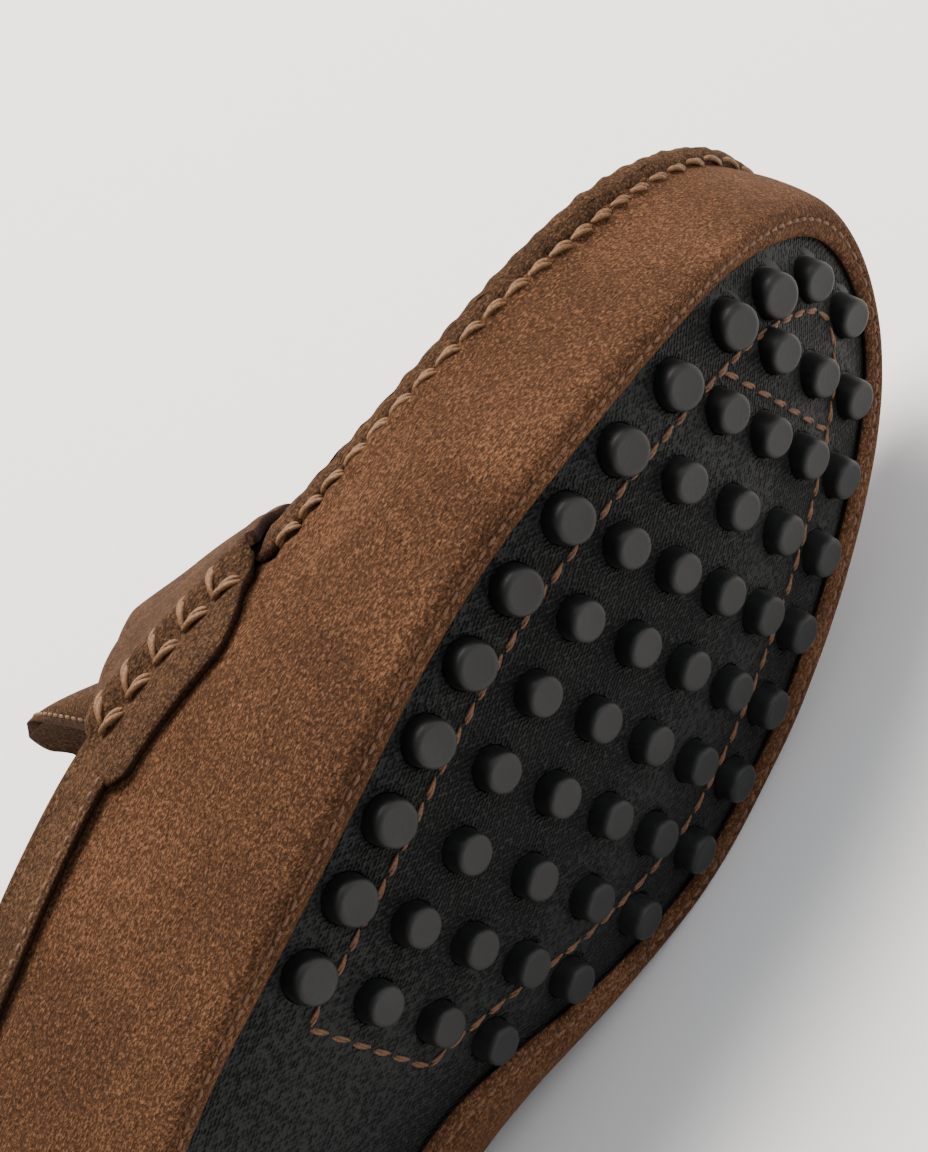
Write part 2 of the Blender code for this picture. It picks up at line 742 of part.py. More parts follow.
def strap_place(across, along, lift):
    """A point of the strap. Across runs -1..1 from outer to inner tab end, along
    0..1 from its back to its front edge; lift is the height over the last."""
    tab = max(abs(across) - STRAP_RIM_SHARE, 0.0) / (1.0 - STRAP_RIM_SHARE)
    flare = max(abs(across) - STRAP_FLARE_START, 0.0) / (1.0 - STRAP_FLARE_START)
    flare = flare * flare * (3.0 - 2.0 * flare)
    back = STRAP_BACK_MIDDLE + (STRAP_BACK_END - STRAP_BACK_MIDDLE) * flare
    front = STRAP_FRONT_MIDDLE + (STRAP_FRONT_END - STRAP_FRONT_MIDDLE) * flare
    y = back + (front - back) * along
    turn = turn_at_rim_y(y)
    rim = wall_point(turn, 3.0)
    widest = wall_point(turn, 2.0)
    drop_share = STRAP_DROP / max((rim - widest).length, STRAP_DROP)
    if tab > 0.0:
        height = 1.0 - drop_share * tab
    else:
        height = 2.0 - abs(across) / STRAP_RIM_SHARE
    spot = height if across < 0.0 else 4.0 - height
    centre = Vector((sole_middle(y), y, SEAM_HEIGHT * 0.75))

    def surface(u, v):
        return outer_skin(turn_at_rim_y(v), u)

    normal = face_normal(surface, spot, y, 0.04, 0.004, centre)
    sideways = Vector((normal.x, 0.0, normal.z))
    return outer_skin(turn, spot) + sideways * (lift / sideways.length_squared)


def strap_lift(across):
    """Clear of the seam ridge at the rim, close to the side at the tab's end."""
    base = UPPER_WALL + SKIN_GAP
    off_rim = (abs(across) - STRAP_RIM_SHARE) / STRAP_RIDGE_SHARE
    ridge = SEAM_RAISE * max(1.0 - off_rim ** 2, 0.0)
    middle = max(1.0 - abs(across) / STRAP_RIM_SHARE, 0.0)
    tongue = (TONGUE_THICKNESS - UPPER_WALL + SKIN_GAP) * middle
    return base + ridge + tongue + STRAP_CLEARANCE


def build_strap(bm):
    stations = [-1.0 + 2.0 * c / (STRAP_COLUMNS - 1) for c in range(STRAP_COLUMNS)]
    grid = []
    for r in range(STRAP_ROWS):
        along = r / (STRAP_ROWS - 1)
        grid.append([strap_place(a, along, strap_lift(a)) for a in stations])
    build_grid(bm, grid, lambda face: face.normal.z)
    thicken(bm, lambda v: STRAP_THICKNESS)


def slot_cutter():
    """The narrow slot in the middle of the strap, as a cutter."""
    def fill(bm):
        y = STRAP_BACK_MIDDLE + SLOT_FRONT_SHARE * (STRAP_FRONT_MIDDLE - STRAP_BACK_MIDDLE)
        middle = strap_place(0.0, SLOT_FRONT_SHARE, 0.0)
        ring = []
        for k in range(SLOT_SIDES):
            angle = 2.0 * math.pi * k / SLOT_SIDES
            ring.append(Vector((middle.x + SLOT_LENGTH / 2.0 * math.cos(angle),
                                y + SLOT_WIDTH / 2.0 * math.sin(angle), middle.z)))
        reach = Vector((0.0, 0.0, SLOT_CUT_REACH))
        low = [bm.verts.new(p - reach) for p in ring]
        high = [bm.verts.new(p + reach) for p in ring]
        bm.faces.new(list(reversed(low)))
        bm.faces.new(high)
        for k in range(SLOT_SIDES):
            n = (k + 1) % SLOT_SIDES
            bm.faces.new((low[k], low[n], high[n], high[k]))

    cutter = new_object("strap_slot_cutter", fill, surface_material("cutter", (0.5,) * 3, 0.5))
    cutter.hide_render = True
    cutter.display_type = "WIRE"
    return cutter


def build_band(bm):
    """The collar band, a strip on the outside of the collar around the heel."""
    front = turn_at_rim_y(BAND_FRONT_Y)
    grid = []
    for level in range(BAND_ROWS):
        row = []
        for c in range(BAND_COLUMNS):
            turn = front - 2.0 * front * c / (BAND_COLUMNS - 1)
            turn = turn if turn >= 0.0 else 1.0 + turn
            rim = wall_point(turn, 3.0)
            widest = wall_point(turn, 2.0)
            depth = BAND_DEPTH / max((rim - widest).length, BAND_DEPTH)
            up = 3.0 - depth * level / (BAND_ROWS - 1)
            centre = Vector((0.0, rim.y * 0.8 + 0.02, SEAM_HEIGHT))

            def surface(u, v):
                return wall_point(u % 1.0, v)

            normal = face_normal(surface, turn, up - 0.02, 0.004, 0.02, centre)
            row.append(wall_point(turn, up) + normal * (UPPER_WALL + SKIN_GAP))
        grid.append(row)
    build_grid(bm, grid, lambda face: face.normal.x * face.calc_center_median().x)
    thicken(bm, lambda v: BAND_THICKNESS)


def volume_middle(pieces):
    """Middle of mass of the closed solids, all of one density."""
    total = 0.0
    moment = Vector((0.0, 0.0, 0.0))
    for piece in pieces:
        mesh = piece.data
        mesh.calc_loop_triangles()
        for triangle in mesh.loop_triangles:
            a, b, c = (mesh.vertices[i].co for i in triangle.vertices)
            volume = a.dot(b.cross(c)) / 6.0
            total += volume
            moment += (a + b + c) * (volume / 4.0)
    return moment / total


def lying_matrix(pieces):
    """Turns the shoe onto the flat of its outline that carries it on the inner
    side, with its length along +Y and the middle of its box's floor at zero."""
    points = [v.co.copy() for piece in pieces for v in piece.data.vertices]
    centre = volume_middle(pieces)
    bm = bmesh.new()
    for point in points:
        bm.verts.new(point)
    bmesh.ops.convex_hull(bm, input=bm.verts, use_existing_faces=False)
    bmesh.ops.recalc_face_normals(bm, faces=bm.faces)
    best = None
    for face in bm.faces:
        if face.normal.x > -0.6:
            continue
        foot = centre - face.normal * (centre - face.verts[0].co).dot(face.normal)
        sides = []
        for loop in face.loops:
            a, b = loop.vert.co, loop.link_loop_next.vert.co
            sides.append((b - a).cross(foot - a).dot(face.normal) / (b - a).length)
        margin = min(sides)
        if best is None or margin > best[0]:
            best = (margin, face.normal.copy())
    bm.free()
    down = best[1]
    ahead = Vector((0.0, 1.0, 0.0))
    ahead = (ahead - down * ahead.dot(down)).normalized()
    up = -down
    right = ahead.cross(up)
    turn = Matrix((right, ahead, up))
    turned = [turn @ p for p in points]
    low = Vector([min(p[i] for p in turned) for i in range(3)])
    high = Vector([max(p[i] for p in turned) for i in range(3)])
    shift = Vector((-(low.x + high.x) / 2.0, -(low.y + high.y) / 2.0, -low.z))
    return Matrix.Translation(shift) @ turn.to_4x4()


def main():
    for old in list(bpy.data.objects):
        bpy.data.objects.remove(old, do_unlink=True)
    suede = surface_material("brown_suede", (0.24, 0.115, 0.055), 0.95)
    suede_dark = surface_material("brown_suede_overlay", (0.20, 0.095, 0.045), 0.95)
    rubber = surface_material("black_rubber", (0.022, 0.023, 0.025), 0.6)
    sheet = surface_material("black_sole_sheet", (0.035, 0.038, 0.042), 0.8)
    lining = surface_material("tan_lining", (0.42, 0.26, 0.14), 0.7)

    forefoot, heel = stud_places()
    hole_radius = STUD_RADIUS + STUD_HOLE_CLEARANCE
    holes = [circle_points(place, hole_radius) for place in forefoot + heel]
    edge = inset_outline(closed_outline(window_point, OUTLINE_STEPS), PAD_EDGE_INSET)
    anchor, way = row_line(FIRST_ROW_Y - PAD_END_MARGIN, STUD_ROW_SLANT)
    forefoot_edge = clip_outline(edge, anchor, Vector((-way.y, way.x)))
    forefoot_edge = with_short_edges(forefoot_edge, LONGEST_EDGE)
    heel_end = HEEL_FIRST_ROW_Y + (len(HEEL_ROWS) - 1) * HEEL_ROW_PITCH + PAD_END_MARGIN
    heel_edge = clip_outline(edge, Vector((0.0, heel_end)), Vector((0.0, -1.0)))
    heel_edge = with_short_edges(heel_edge, LONGEST_EDGE)

    pieces = [
        new_object("upper", build_upper, suede),
        new_object("sole_sheet", lambda bm: build_sheet(bm, holes), sheet),
        new_object("forefoot_stud_pad", lambda bm: build_pad(bm, forefoot_edge, forefoot), rubber),
        new_object("heel_stud_pad", lambda bm: build_pad(bm, heel_edge, heel), rubber),
        new_object("insole", lambda bm: build_insole(bm, forefoot + heel), lining),
        new_object("tongue", build_tongue, suede),
        new_object("saddle_strap", build_strap, suede_dark),
        new_object("collar_band", build_band, suede_dark),
    ]
    cutter = slot_cutter()
    strap = pieces[6]
    cut = strap.modifiers.new("penny_slot", "BOOLEAN")
    cut.operation = "DIFFERENCE"
    cut.solver = "EXACT"
    cut.object = cutter

    lay_down = lying_matrix(pieces)
    for piece in pieces + [cutter]:
        piece.data.transform(lay_down)


main()
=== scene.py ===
"""Looks of a suede driving moccasin for the right foot, lying on its inner side.

Surfaces are worked out in the shoe's own frame, in metres: +Y runs from heel to toe,
+X to the outer side of the foot and +Z up from the tread. The two treads stated in
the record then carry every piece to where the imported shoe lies.
"""
import json
import math

import bmesh
import bpy
from bpy.props import FloatProperty, FloatVectorProperty, PointerProperty
from bpy.types import Operator, Panel, PropertyGroup
from mathutils import Matrix, Vector, noise


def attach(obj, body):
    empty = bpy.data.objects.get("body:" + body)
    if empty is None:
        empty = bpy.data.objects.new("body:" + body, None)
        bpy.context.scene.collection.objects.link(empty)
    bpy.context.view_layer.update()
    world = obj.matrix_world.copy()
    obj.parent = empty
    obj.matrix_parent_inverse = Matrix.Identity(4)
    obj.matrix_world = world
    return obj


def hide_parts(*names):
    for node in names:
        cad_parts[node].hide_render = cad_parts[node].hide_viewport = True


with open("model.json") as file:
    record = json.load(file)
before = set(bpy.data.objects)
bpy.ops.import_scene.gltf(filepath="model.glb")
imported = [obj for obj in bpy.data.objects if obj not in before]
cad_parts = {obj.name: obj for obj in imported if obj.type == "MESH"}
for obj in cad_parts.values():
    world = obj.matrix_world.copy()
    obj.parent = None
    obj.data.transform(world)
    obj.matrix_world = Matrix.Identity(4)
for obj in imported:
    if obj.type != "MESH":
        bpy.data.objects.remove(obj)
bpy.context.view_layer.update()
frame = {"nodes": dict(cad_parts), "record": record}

bl_info = {
    "name": "Suede driving moccasin",
    "version": (1, 0, 0),
    "blender": (4, 5, 0),
    "location": "View3D > Sidebar > Moccasin",
    "description": "Dresses the packed shoe with suede, sheet, studs and thread",
    "category": "Object",
}

MM = 0.001

# The last and the window under it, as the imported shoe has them
LAST_LENGTH = 284.0 * MM
LAST_BALL_WIDTH = 95.5 * MM
LAST_HEEL_BACK = -7.2 * MM
LAST_BULGE_RISE = 14.0 * MM
TOE_LEAN = -5.0 * MM
LOWER_CURVE_POWER = 0.85
SIDE_ARC = math.radians(62.0)
CROWN_POWER = 2.4
WINDOW_LENGTH = LAST_LENGTH - 14.0 * MM
WINDOW_BALL_WIDTH = LAST_BALL_WIDTH - 11.5 * MM
RIM_LENGTH = LAST_LENGTH - 9.0 * MM
RIM_WIDTH = LAST_BALL_WIDTH - 10.5 * MM
RIM_HEEL_BACK = 1.0 * MM
SEAM_HEIGHT = 43.0 * MM
COLLAR_HEIGHT = 64.0 * MM
TOE_SEAM_HEIGHT = 50.5 * MM
INSTEP_CROWN = 33.0 * MM
HEEL_RISE = 1.20
STUD_HEIGHT = 3.2 * MM
SOLE_ROUND_RADIUS = 150.0 * MM
TOE_SPRING = 21.5 * MM
TOE_SPRING_START = 0.687 * LAST_LENGTH
ARCH_RISE = 4.0 * MM
ARCH_MIDDLE = 0.335 * LAST_LENGTH
ARCH_HALF_LENGTH = 0.194 * LAST_LENGTH
LAP = 3.7 * MM
LAYER_GAP = 0.4 * MM
UPPER_WALL = 1.8 * MM
SHEET_THICKNESS = 1.6 * MM
SKIN_GAP = 0.3 * MM

# Studs
STUD_EDGE_INSET = 6.6 * MM
STUD_ROW_PITCH = 0.0493 * LAST_LENGTH
STUD_ROW_SLANT = math.radians(12.0)
FIRST_ROW_Y = 0.4239 * LAST_LENGTH
FOREFOOT_ROWS = (4, 5, 5, 6, 6, 6, 6, 5, 5, 4)
TOE_STUDS = 3
HEEL_FIRST_ROW_Y = 0.0423 * LAST_LENGTH
HEEL_ROW_PITCH = 0.0479 * LAST_LENGTH
HEEL_ROWS = (3, 4, 4, 4, 4)
MOUNT_FOREFOOT_STUD = 22
MOUNT_HEEL_STUD = 8
EDGE_STUD_SIZE = 1.02
PAD_STUD_SIZE = 0.90
STUD_SIDES = 28
HOLE_RADIUS = 4.45 * MM
HOLE_DEPTH = 9.0 * MM
PAD_STITCH_INSET = 11.7 * MM

# Throat, tongue, strap and collar band
THROAT_Y = 0.5845 * LAST_LENGTH
THROAT_GAP = 0.6 * MM
TONGUE_LENGTH = 34.0 * MM
TONGUE_WIDTH = 0.586 * LAST_BALL_WIDTH
TONGUE_RISE = 10.0 * MM
TONGUE_FLANK_DROP = 12.0 * MM
TONGUE_LIFT_START = 0.30
TONGUE_TIP_START = 0.55
TONGUE_TIP_NARROWING = 0.72
TONGUE_EDGE_LEAN = 0.10
STRAP_FRONT_MIDDLE = 0.6514 * LAST_LENGTH
STRAP_BACK_MIDDLE = 0.5493 * LAST_LENGTH
STRAP_FRONT_END = 0.5915 * LAST_LENGTH
STRAP_BACK_END = 0.4472 * LAST_LENGTH
STRAP_DROP = 14.5 * MM
STRAP_RIM_SHARE = 0.80
STRAP_FLARE_START = 0.45
SLOT_FRONT_SHARE = 0.42
BAND_DEPTH = 13.0 * MM
TONGUE_THICKNESS = 2.0 * MM
TONGUE_STAND = 8.5 * MM
TONGUE_LEAD = 3.0 * MM
STRAP_THICKNESS = 2.2 * MM
BAND_THICKNESS = 1.4 * MM

# Slot and end slits of the strap: half lengths along and across it
SLOT_HALF_SIZE = (10.0 * MM, 2.3 * MM)
SLIT_HALF_SIZE = (0.8 * MM, 5.2 * MM)
SLIT_ACROSS = 0.47

# The strap's V-shaped stitches: places along the strap, and across it in shares
V_FIRST = 0.08
V_STEP = 0.172
V_COUNT = 5
V_ROOT = 0.895
V_CREST = 0.800

# Relief of the side's face: its height, skive and groove at the window, and below the
# seam the reach of its gathers and a soft swell
SIDE_FACE_HEIGHT = 28.0 * MM
SKIVE_DEPTH = 1.3 * MM
GROOVE_DEPTH = 0.45 * MM
GATHER_REACH = 9.0 * MM
SWELL_PLACE = 7.5 * MM
SWELL_REACH = 3.0 * MM
SWELL_HEIGHT = 0.8 * MM

# Up values on the side: the stitched groove of its margin, and just under its rim
GROOVE_UP = 0.72
UNDER_RIM = 2.95

STUD_PROFILE = (
    # radius, height in millimetres over the sheet's lower face
    (0.0, -3.40),
    (5.6, -3.40),
    (5.6, -2.05),
    (4.30, -2.05),
    (4.25, -0.30),
    (4.18, 0.90),
    (4.08, 2.20),
    (4.00, 2.90),
    (3.84, 3.36),
    (3.54, 3.66),
    (3.10, 3.78),
    (2.80, 3.76),
    (1.40, 3.72),
    (0.0, 3.71),
)

# Outlines of window, last and rim: shares of the length, and widths as shares of the width
WINDOW_SECTIONS = (
    # along, outer, inner
    (0.11, 0.380, 0.362),
    (0.20, 0.398, 0.300),
    (0.27, 0.425, 0.190),
    (0.34, 0.458, 0.115),
    (0.40, 0.483, 0.115),
    (0.46, 0.520, 0.187),
    (0.54, 0.565, 0.325),
    (0.62, 0.585, 0.415),
    (0.70, 0.580, 0.396),
    (0.78, 0.540, 0.325),
    (0.86, 0.453, 0.270),
    (0.93, 0.325, 0.225),
)
LAST_SECTIONS = (
    # along, outer, inner
    (0.10, 0.340, 0.335),
    (0.22, 0.386, 0.350),
    (0.33, 0.437, 0.330),
    (0.43, 0.487, 0.335),
    (0.53, 0.543, 0.372),
    (0.62, 0.567, 0.416),
    (0.70, 0.558, 0.402),
    (0.78, 0.508, 0.354),
    (0.86, 0.416, 0.300),
    (0.93, 0.290, 0.244),
)
RIM_SECTIONS = (
    # along, outer, inner, rise, crown
    (0.08, 0.285, 0.276, 1.06, 1.50),
    (0.18, 0.372, 0.355, 0.92, 1.45),
    (0.29, 0.455, 0.408, 0.94, 1.40),
    (0.40, 0.506, 0.420, 1.04, 1.30),
    (0.47, 0.530, 0.425, 1.00, 1.24),
    (0.54, 0.547, 0.431, 0.74, 1.14),
    (0.61, 0.555, 0.440, 0.43, 1.00),
    (0.70, 0.560, 0.440, 0.13, 0.70),
    (0.78, 0.543, 0.405, 0.00, 0.49),
    (0.86, 0.486, 0.352, 0.02, 0.33),
    (0.93, 0.376, 0.275, 0.13, 0.18),
)

# Soft dents and swells of the worn-in leather: turn, up, reach along in metres,
# reach up in shares of the side, and height in metres
SOFT_DENTS = (
    (0.292, 2.50, 11.0 * MM, 0.60, -0.90 * MM),
    (0.318, 2.40, 12.0 * MM, 0.60, 0.70 * MM),
    (0.345, 2.20, 16.0 * MM, 0.50, -0.60 * MM),
    (0.262, 2.10, 18.0 * MM, 0.50, 0.60 * MM),
    (0.225, 2.30, 16.0 * MM, 0.50, -0.70 * MM),
    (0.390, 2.45, 10.0 * MM, 0.50, -0.50 * MM),
    (0.690, 2.40, 14.0 * MM, 0.60, -0.80 * MM),
    (0.735, 2.20, 15.0 * MM, 0.60, 0.60 * MM),
    (0.640, 2.40, 10.0 * MM, 0.50, -0.50 * MM),
    (0.060, 2.30, 16.0 * MM, 0.50, -0.60 * MM),
    (0.940, 2.30, 16.0 * MM, 0.50, -0.60 * MM),
)


def spline_through(rows, column, at):
    """The smooth curve through one column of a table, read at one share."""
    if at <= rows[0][0]:
        return rows[0][column]
    if at >= rows[-1][0]:
        return rows[-1][column]
    i = 0
    while at > rows[i + 1][0]:
        i += 1

    def slope(k):
        a, b = (max(k - 1, 0), min(k + 1, len(rows) - 1))
        return (rows[b][column] - rows[a][column]) / (rows[b][0] - rows[a][0])

    span = rows[i + 1][0] - rows[i][0]
    t = (at - rows[i][0]) / span
    m0, m1 = slope(i) * span, slope(i + 1) * span
    return ((2 * t ** 3 - 3 * t ** 2 + 1) * rows[i][column] + (t ** 3 - 2 * t ** 2 + t) * m0
            + (3 * t ** 2 - 2 * t ** 3) * rows[i + 1][column] + (t ** 3 - t ** 2) * m1)


def roundness(share):
    return 2.0 * math.sqrt(max(share * (1.0 - share), 0.0))


def with_round_ends(sections, heel_fullness, toe_fullness):
    rows = [(r[0], r[1] / roundness(r[0]), r[2] / roundness(r[0])) for r in sections]
    first = (0.0, heel_fullness, heel_fullness)
    return [first] + rows + [(1.0, toe_fullness, toe_fullness)]


WINDOW_ROWS = with_round_ends(WINDOW_SECTIONS, 0.66, 0.56)
LAST_ROWS = with_round_ends(LAST_SECTIONS, 0.60, 0.56)
RIM_ROWS = with_round_ends(RIM_SECTIONS, 0.54, 0.70)
TOE_RISE = (TOE_SEAM_HEIGHT - SEAM_HEIGHT) / (COLLAR_HEIGHT - SEAM_HEIGHT)
RIM_RISE = [(0.0, HEEL_RISE)] + [(row[0], row[3]) for row in RIM_SECTIONS] + [(1.0, TOE_RISE)]
RIM_CROWN = [(0.0, 1.5)] + [(row[0], row[4]) for row in RIM_SECTIONS] + [(1.0, 0.0)]


def outline_point(rows, turn, back, length, width):
    """A point of a closed outline: turn 0 heel, 0.25 outer side, 0.5 toe."""
    turn = turn % 1.0
    outer = turn <= 0.5
    half_turn = turn if outer else 1.0 - turn
    share = (1.0 - math.cos(2.0 * math.pi * half_turn)) / 2.0
    reach = spline_through(rows, 1 if outer else 2, share)
    side = 1.0 if outer else -1.0
    x = TOE_LEAN * share + side * reach * roundness(share) * width
    return Vector((x, back + length * share))


def window_point(turn):
    return outline_point(WINDOW_ROWS, turn, 0.0, WINDOW_LENGTH, WINDOW_BALL_WIDTH)


def last_point(turn):
    return outline_point(LAST_ROWS, turn, LAST_HEEL_BACK, LAST_LENGTH, LAST_BALL_WIDTH)


def rim_point(turn):
    return outline_point(RIM_ROWS, turn, RIM_HEEL_BACK, RIM_LENGTH, RIM_WIDTH)


def rim_share(turn):
    turn = turn % 1.0
    return (1.0 - math.cos(2.0 * math.pi * min(turn, 1.0 - turn))) / 2.0


def rim_height(turn):
    rise = spline_through(RIM_RISE, 1, rim_share(turn))
    return SEAM_HEIGHT + rise * (COLLAR_HEIGHT - SEAM_HEIGHT)


def turn_at_rim_y(y):
    share = min(max((y - RIM_HEEL_BACK) / RIM_LENGTH, 0.0), 1.0)
    return math.acos(1.0 - 2.0 * share) / (2.0 * math.pi)


def sole_middle(y):
    share = min(max(y / WINDOW_LENGTH, 0.0), 1.0)
    outer = spline_through(WINDOW_ROWS, 1, share)
    inner = spline_through(LAST_ROWS, 2, share)
    return TOE_LEAN * share + (outer - inner) * roundness(share) * WINDOW_BALL_WIDTH / 2.0


def sole_height(x, y):
    """Height of the sheet's lower face: round across, raised at toe and arch."""
    across = (x - sole_middle(y)) ** 2 / (2.0 * SOLE_ROUND_RADIUS)
    run = max(y - TOE_SPRING_START, 0.0) / (WINDOW_LENGTH - TOE_SPRING_START)
    off_arch = (y - ARCH_MIDDLE) / ARCH_HALF_LENGTH
    arch = ARCH_RISE * math.cos(off_arch * math.pi / 2.0) ** 2 if abs(off_arch) < 1.0 else 0.0
    return STUD_HEIGHT + across + TOE_SPRING * run ** 2 + arch


def on_sole(flat, below=0.0):
    """A flat point set on the sole's lower face, or that far below it."""
    return Vector((flat.x, flat.y, sole_height(flat.x, flat.y) - below))


def lap_point(turn, reach):
    start = window_point(turn)
    return start + (last_point(turn) - start).normalized() * reach


def wall_point(turn, up):
    """Inner face of the side. Up 0 is the window's edge, 1 the lap's end, 2 the
    widest line and 3 the rim."""
    if up <= 1.0:
        flat = lap_point(turn, LAP * up)
        return on_sole(flat, LAYER_GAP)
    widest = last_point(turn)
    widest_z = sole_height(widest.x, widest.y) + LAST_BULGE_RISE
    if up <= 2.0:
        foot = lap_point(turn, LAP)
        foot_z = sole_height(foot.x, foot.y) - LAYER_GAP
        angle = (up - 1.0) * math.pi / 2.0
        flat = foot.lerp(widest, math.sin(angle) ** LOWER_CURVE_POWER)
        return Vector((flat.x, flat.y, foot_z + (widest_z - foot_z) * (1.0 - math.cos(angle))))
    top = rim_point(turn)
    angle = (up - 2.0) * SIDE_ARC
    flat = widest.lerp(top, (1.0 - math.cos(angle)) / (1.0 - math.cos(SIDE_ARC)))
    share = math.sin(angle) / math.sin(SIDE_ARC)
    return Vector((flat.x, flat.y, widest_z + (rim_height(turn) - widest_z) * share))


def top_point(turn, across):
    """Inner face of what spans the rim, from -1 on the outer rim to 1."""
    outer = wall_point(turn, 3.0)
    inner = wall_point(1.0 - turn, 3.0)
    place = outer.lerp(inner, (across + 1.0) / 2.0)
    crown = INSTEP_CROWN * spline_through(RIM_CROWN, 1, rim_share(turn))
    place.z += crown * (1.0 - abs(across) ** CROWN_POWER)
    return place


def inside_of(place):
    """A point well inside the shoe at this place along it."""
    y = min(max(place.y, 0.045), 0.215)
    return Vector((sole_middle(y), y, 0.030))


def normal_of(surface, u, v, step_u, step_v):
    """Outward unit normal of a surface given by a function of u and v."""
    du = surface(u + step_u, v) - surface(u - step_u, v)
    dv = surface(u, v + step_v) - surface(u, v - step_v)
    normal = du.cross(dv).normalized()
    place = surface(u, v)
    return -normal if normal.dot(place - inside_of(place)) < 0.0 else normal


def inset_outline(points, inset):
    moved = []
    for i, here in enumerate(points):
        way = (points[(i + 1) % len(points)] - points[i - 1]).normalized()
        moved.append(here + Vector((-way.y, way.x)) * inset)
    return moved


def cross_outline(outline, anchor, way):
    """Where a line crosses a closed outline: its outer and its inner point."""
    side = Vector((-way.y, way.x))
    hits = []
    for a, b in zip(outline, outline[1:] + outline[:1]):
        da, db = (a - anchor).dot(side), (b - anchor).dot(side)
        if (da < 0.0) != (db < 0.0):
            hits.append(a.lerp(b, da / (da - db)))
    hits.sort(key=lambda hit: hit.dot(way))
    return hits[-1], hits[0]


def running_lengths(path):
    lengths = [0.0]
    for a, b in zip(path, path[1:]):
        lengths.append(lengths[-1] + (b - a).length)
    return lengths


def point_at(path, lengths, want):
    """The point at a length along an open path, and its direction there."""
    i = 0
    while i < len(path) - 2 and lengths[i + 1] < want:
        i += 1
    step = lengths[i + 1] - lengths[i]
    place = path[i].lerp(path[i + 1], (want - lengths[i]) / step)
    return place, (path[i + 1] - path[i]).normalized()


def window_ring(inset):
    return inset_outline([window_point(i / 180.0) for i in range(180)], inset)


def row_way(slant):
    return Vector((math.cos(slant), -math.sin(slant)))


def stud_places():
    """Flat places of the forefoot's and of the heel's studs."""
    ring = window_ring(STUD_EDGE_INSET)
    way = row_way(STUD_ROW_SLANT)
    forefoot = []
    for index, count in enumerate(FOREFOOT_ROWS):
        anchor = Vector((0.0, FIRST_ROW_Y + index * STUD_ROW_PITCH))
        outer, inner = cross_outline(ring, anchor, way)
        forefoot += [outer.lerp(inner, k / (count - 1)) for k in range(count)]
    ahead = Vector((-way.y, way.x))
    arc = sorted((p for p in ring if (p - outer).dot(ahead) > 0.0), key=lambda p: -p.dot(way))
    arc = [outer] + arc + [inner]
    lengths = running_lengths(arc)
    for k in range(1, TOE_STUDS + 1):
        forefoot.append(point_at(arc, lengths, lengths[-1] * k / (TOE_STUDS + 1))[0])
    heel = []
    for index, count in enumerate(HEEL_ROWS):
        anchor = Vector((0.0, HEEL_FIRST_ROW_Y + index * HEEL_ROW_PITCH))
        outer, inner = cross_outline(ring, anchor, Vector((1.0, 0.0)))
        heel += [outer.lerp(inner, k / (count - 1)) for k in range(count)]
    return forefoot, heel


def sole_down(flat):
    """Downward normal of the sole at a flat place."""
    step = 1.0 * MM
    slope_x = sole_height(flat.x + step, flat.y) - sole_height(flat.x - step, flat.y)
    slope_y = sole_height(flat.x, flat.y + step) - sole_height(flat.x, flat.y - step)
    return Vector((slope_x, slope_y, -2.0 * step)).normalized()


def axes_from(forward, near_up):
    """An orthonormal frame with its columns along, across and up."""
    along = forward.normalized()
    up = (near_up - along * near_up.dot(along)).normalized()
    return Matrix((along, up.cross(along), up)).transposed()


def lying_matrix():
    """Carries the shoe's own frame onto the treads that the record states."""
    forefoot, heel = stud_places()
    mine = []
    for flat in (forefoot[MOUNT_FOREFOOT_STUD], heel[MOUNT_HEEL_STUD]):
        mine.append(on_sole(flat) + sole_down(flat) * STUD_HEIGHT)
    mounts = {mount["name"]: mount for mount in frame["record"]["mounts"]}
    front, back = mounts["forefoot_tread"], mounts["heel_tread"]
    theirs = [Vector(front["pos_m"]), Vector(back["pos_m"])]
    here = axes_from(mine[0] - mine[1], sole_down(forefoot[MOUNT_FOREFOOT_STUD]))
    there = axes_from(theirs[0] - theirs[1], Vector(front["axis"]))
    turn = there @ here.inverted()
    return Matrix.Translation(theirs[0] - turn @ mine[0]) @ turn.to_4x4()


LYING = lying_matrix()


# Materials


def linear(colour):
    """The shader's four values of an sRGB hex colour or of a colour property."""
    if not isinstance(colour, str):
        return [*colour, 1.0]
    values = [int(colour[i:i + 2], 16) / 255.0 for i in (1, 3, 5)]
    return [v / 12.92 if v <= 0.04045 else ((v + 0.055) / 1.055) ** 2.4 for v in values] + [1.0]


def add_node(tree, kind, values=None, links=None, stops=(), **settings):
    """Adds a node, sets its properties, sockets and colour stops, and links its inputs."""
    node = tree.nodes.new(kind)
    for key, value in settings.items():
        setattr(node, key, value)
    for key, value in (values or {}).items():
        node.inputs[key].default_value = value
    for key, source in (links or {}).items():
        tree.links.new(source, node.inputs[key])
    if stops:
        elements = node.color_ramp.elements
        for element, (place, colour) in zip(elements, (stops[0], stops[-1])):
            element.position, element.color = place, linear(colour)
        for place, colour in stops[1:-1]:
            elements.new(place).color = linear(colour)
    return node


def start_material(name, colour, roughness):
    material = bpy.data.materials.get(name)
    if material:
        return material, None, None
    material = bpy.data.materials.new(name)
    material.use_nodes = True
    tree = material.node_tree
    shader = tree.nodes["Principled BSDF"]
    shader.inputs["Base Color"].default_value = linear(colour)
    shader.inputs["Roughness"].default_value = roughness
    return material, tree, shader


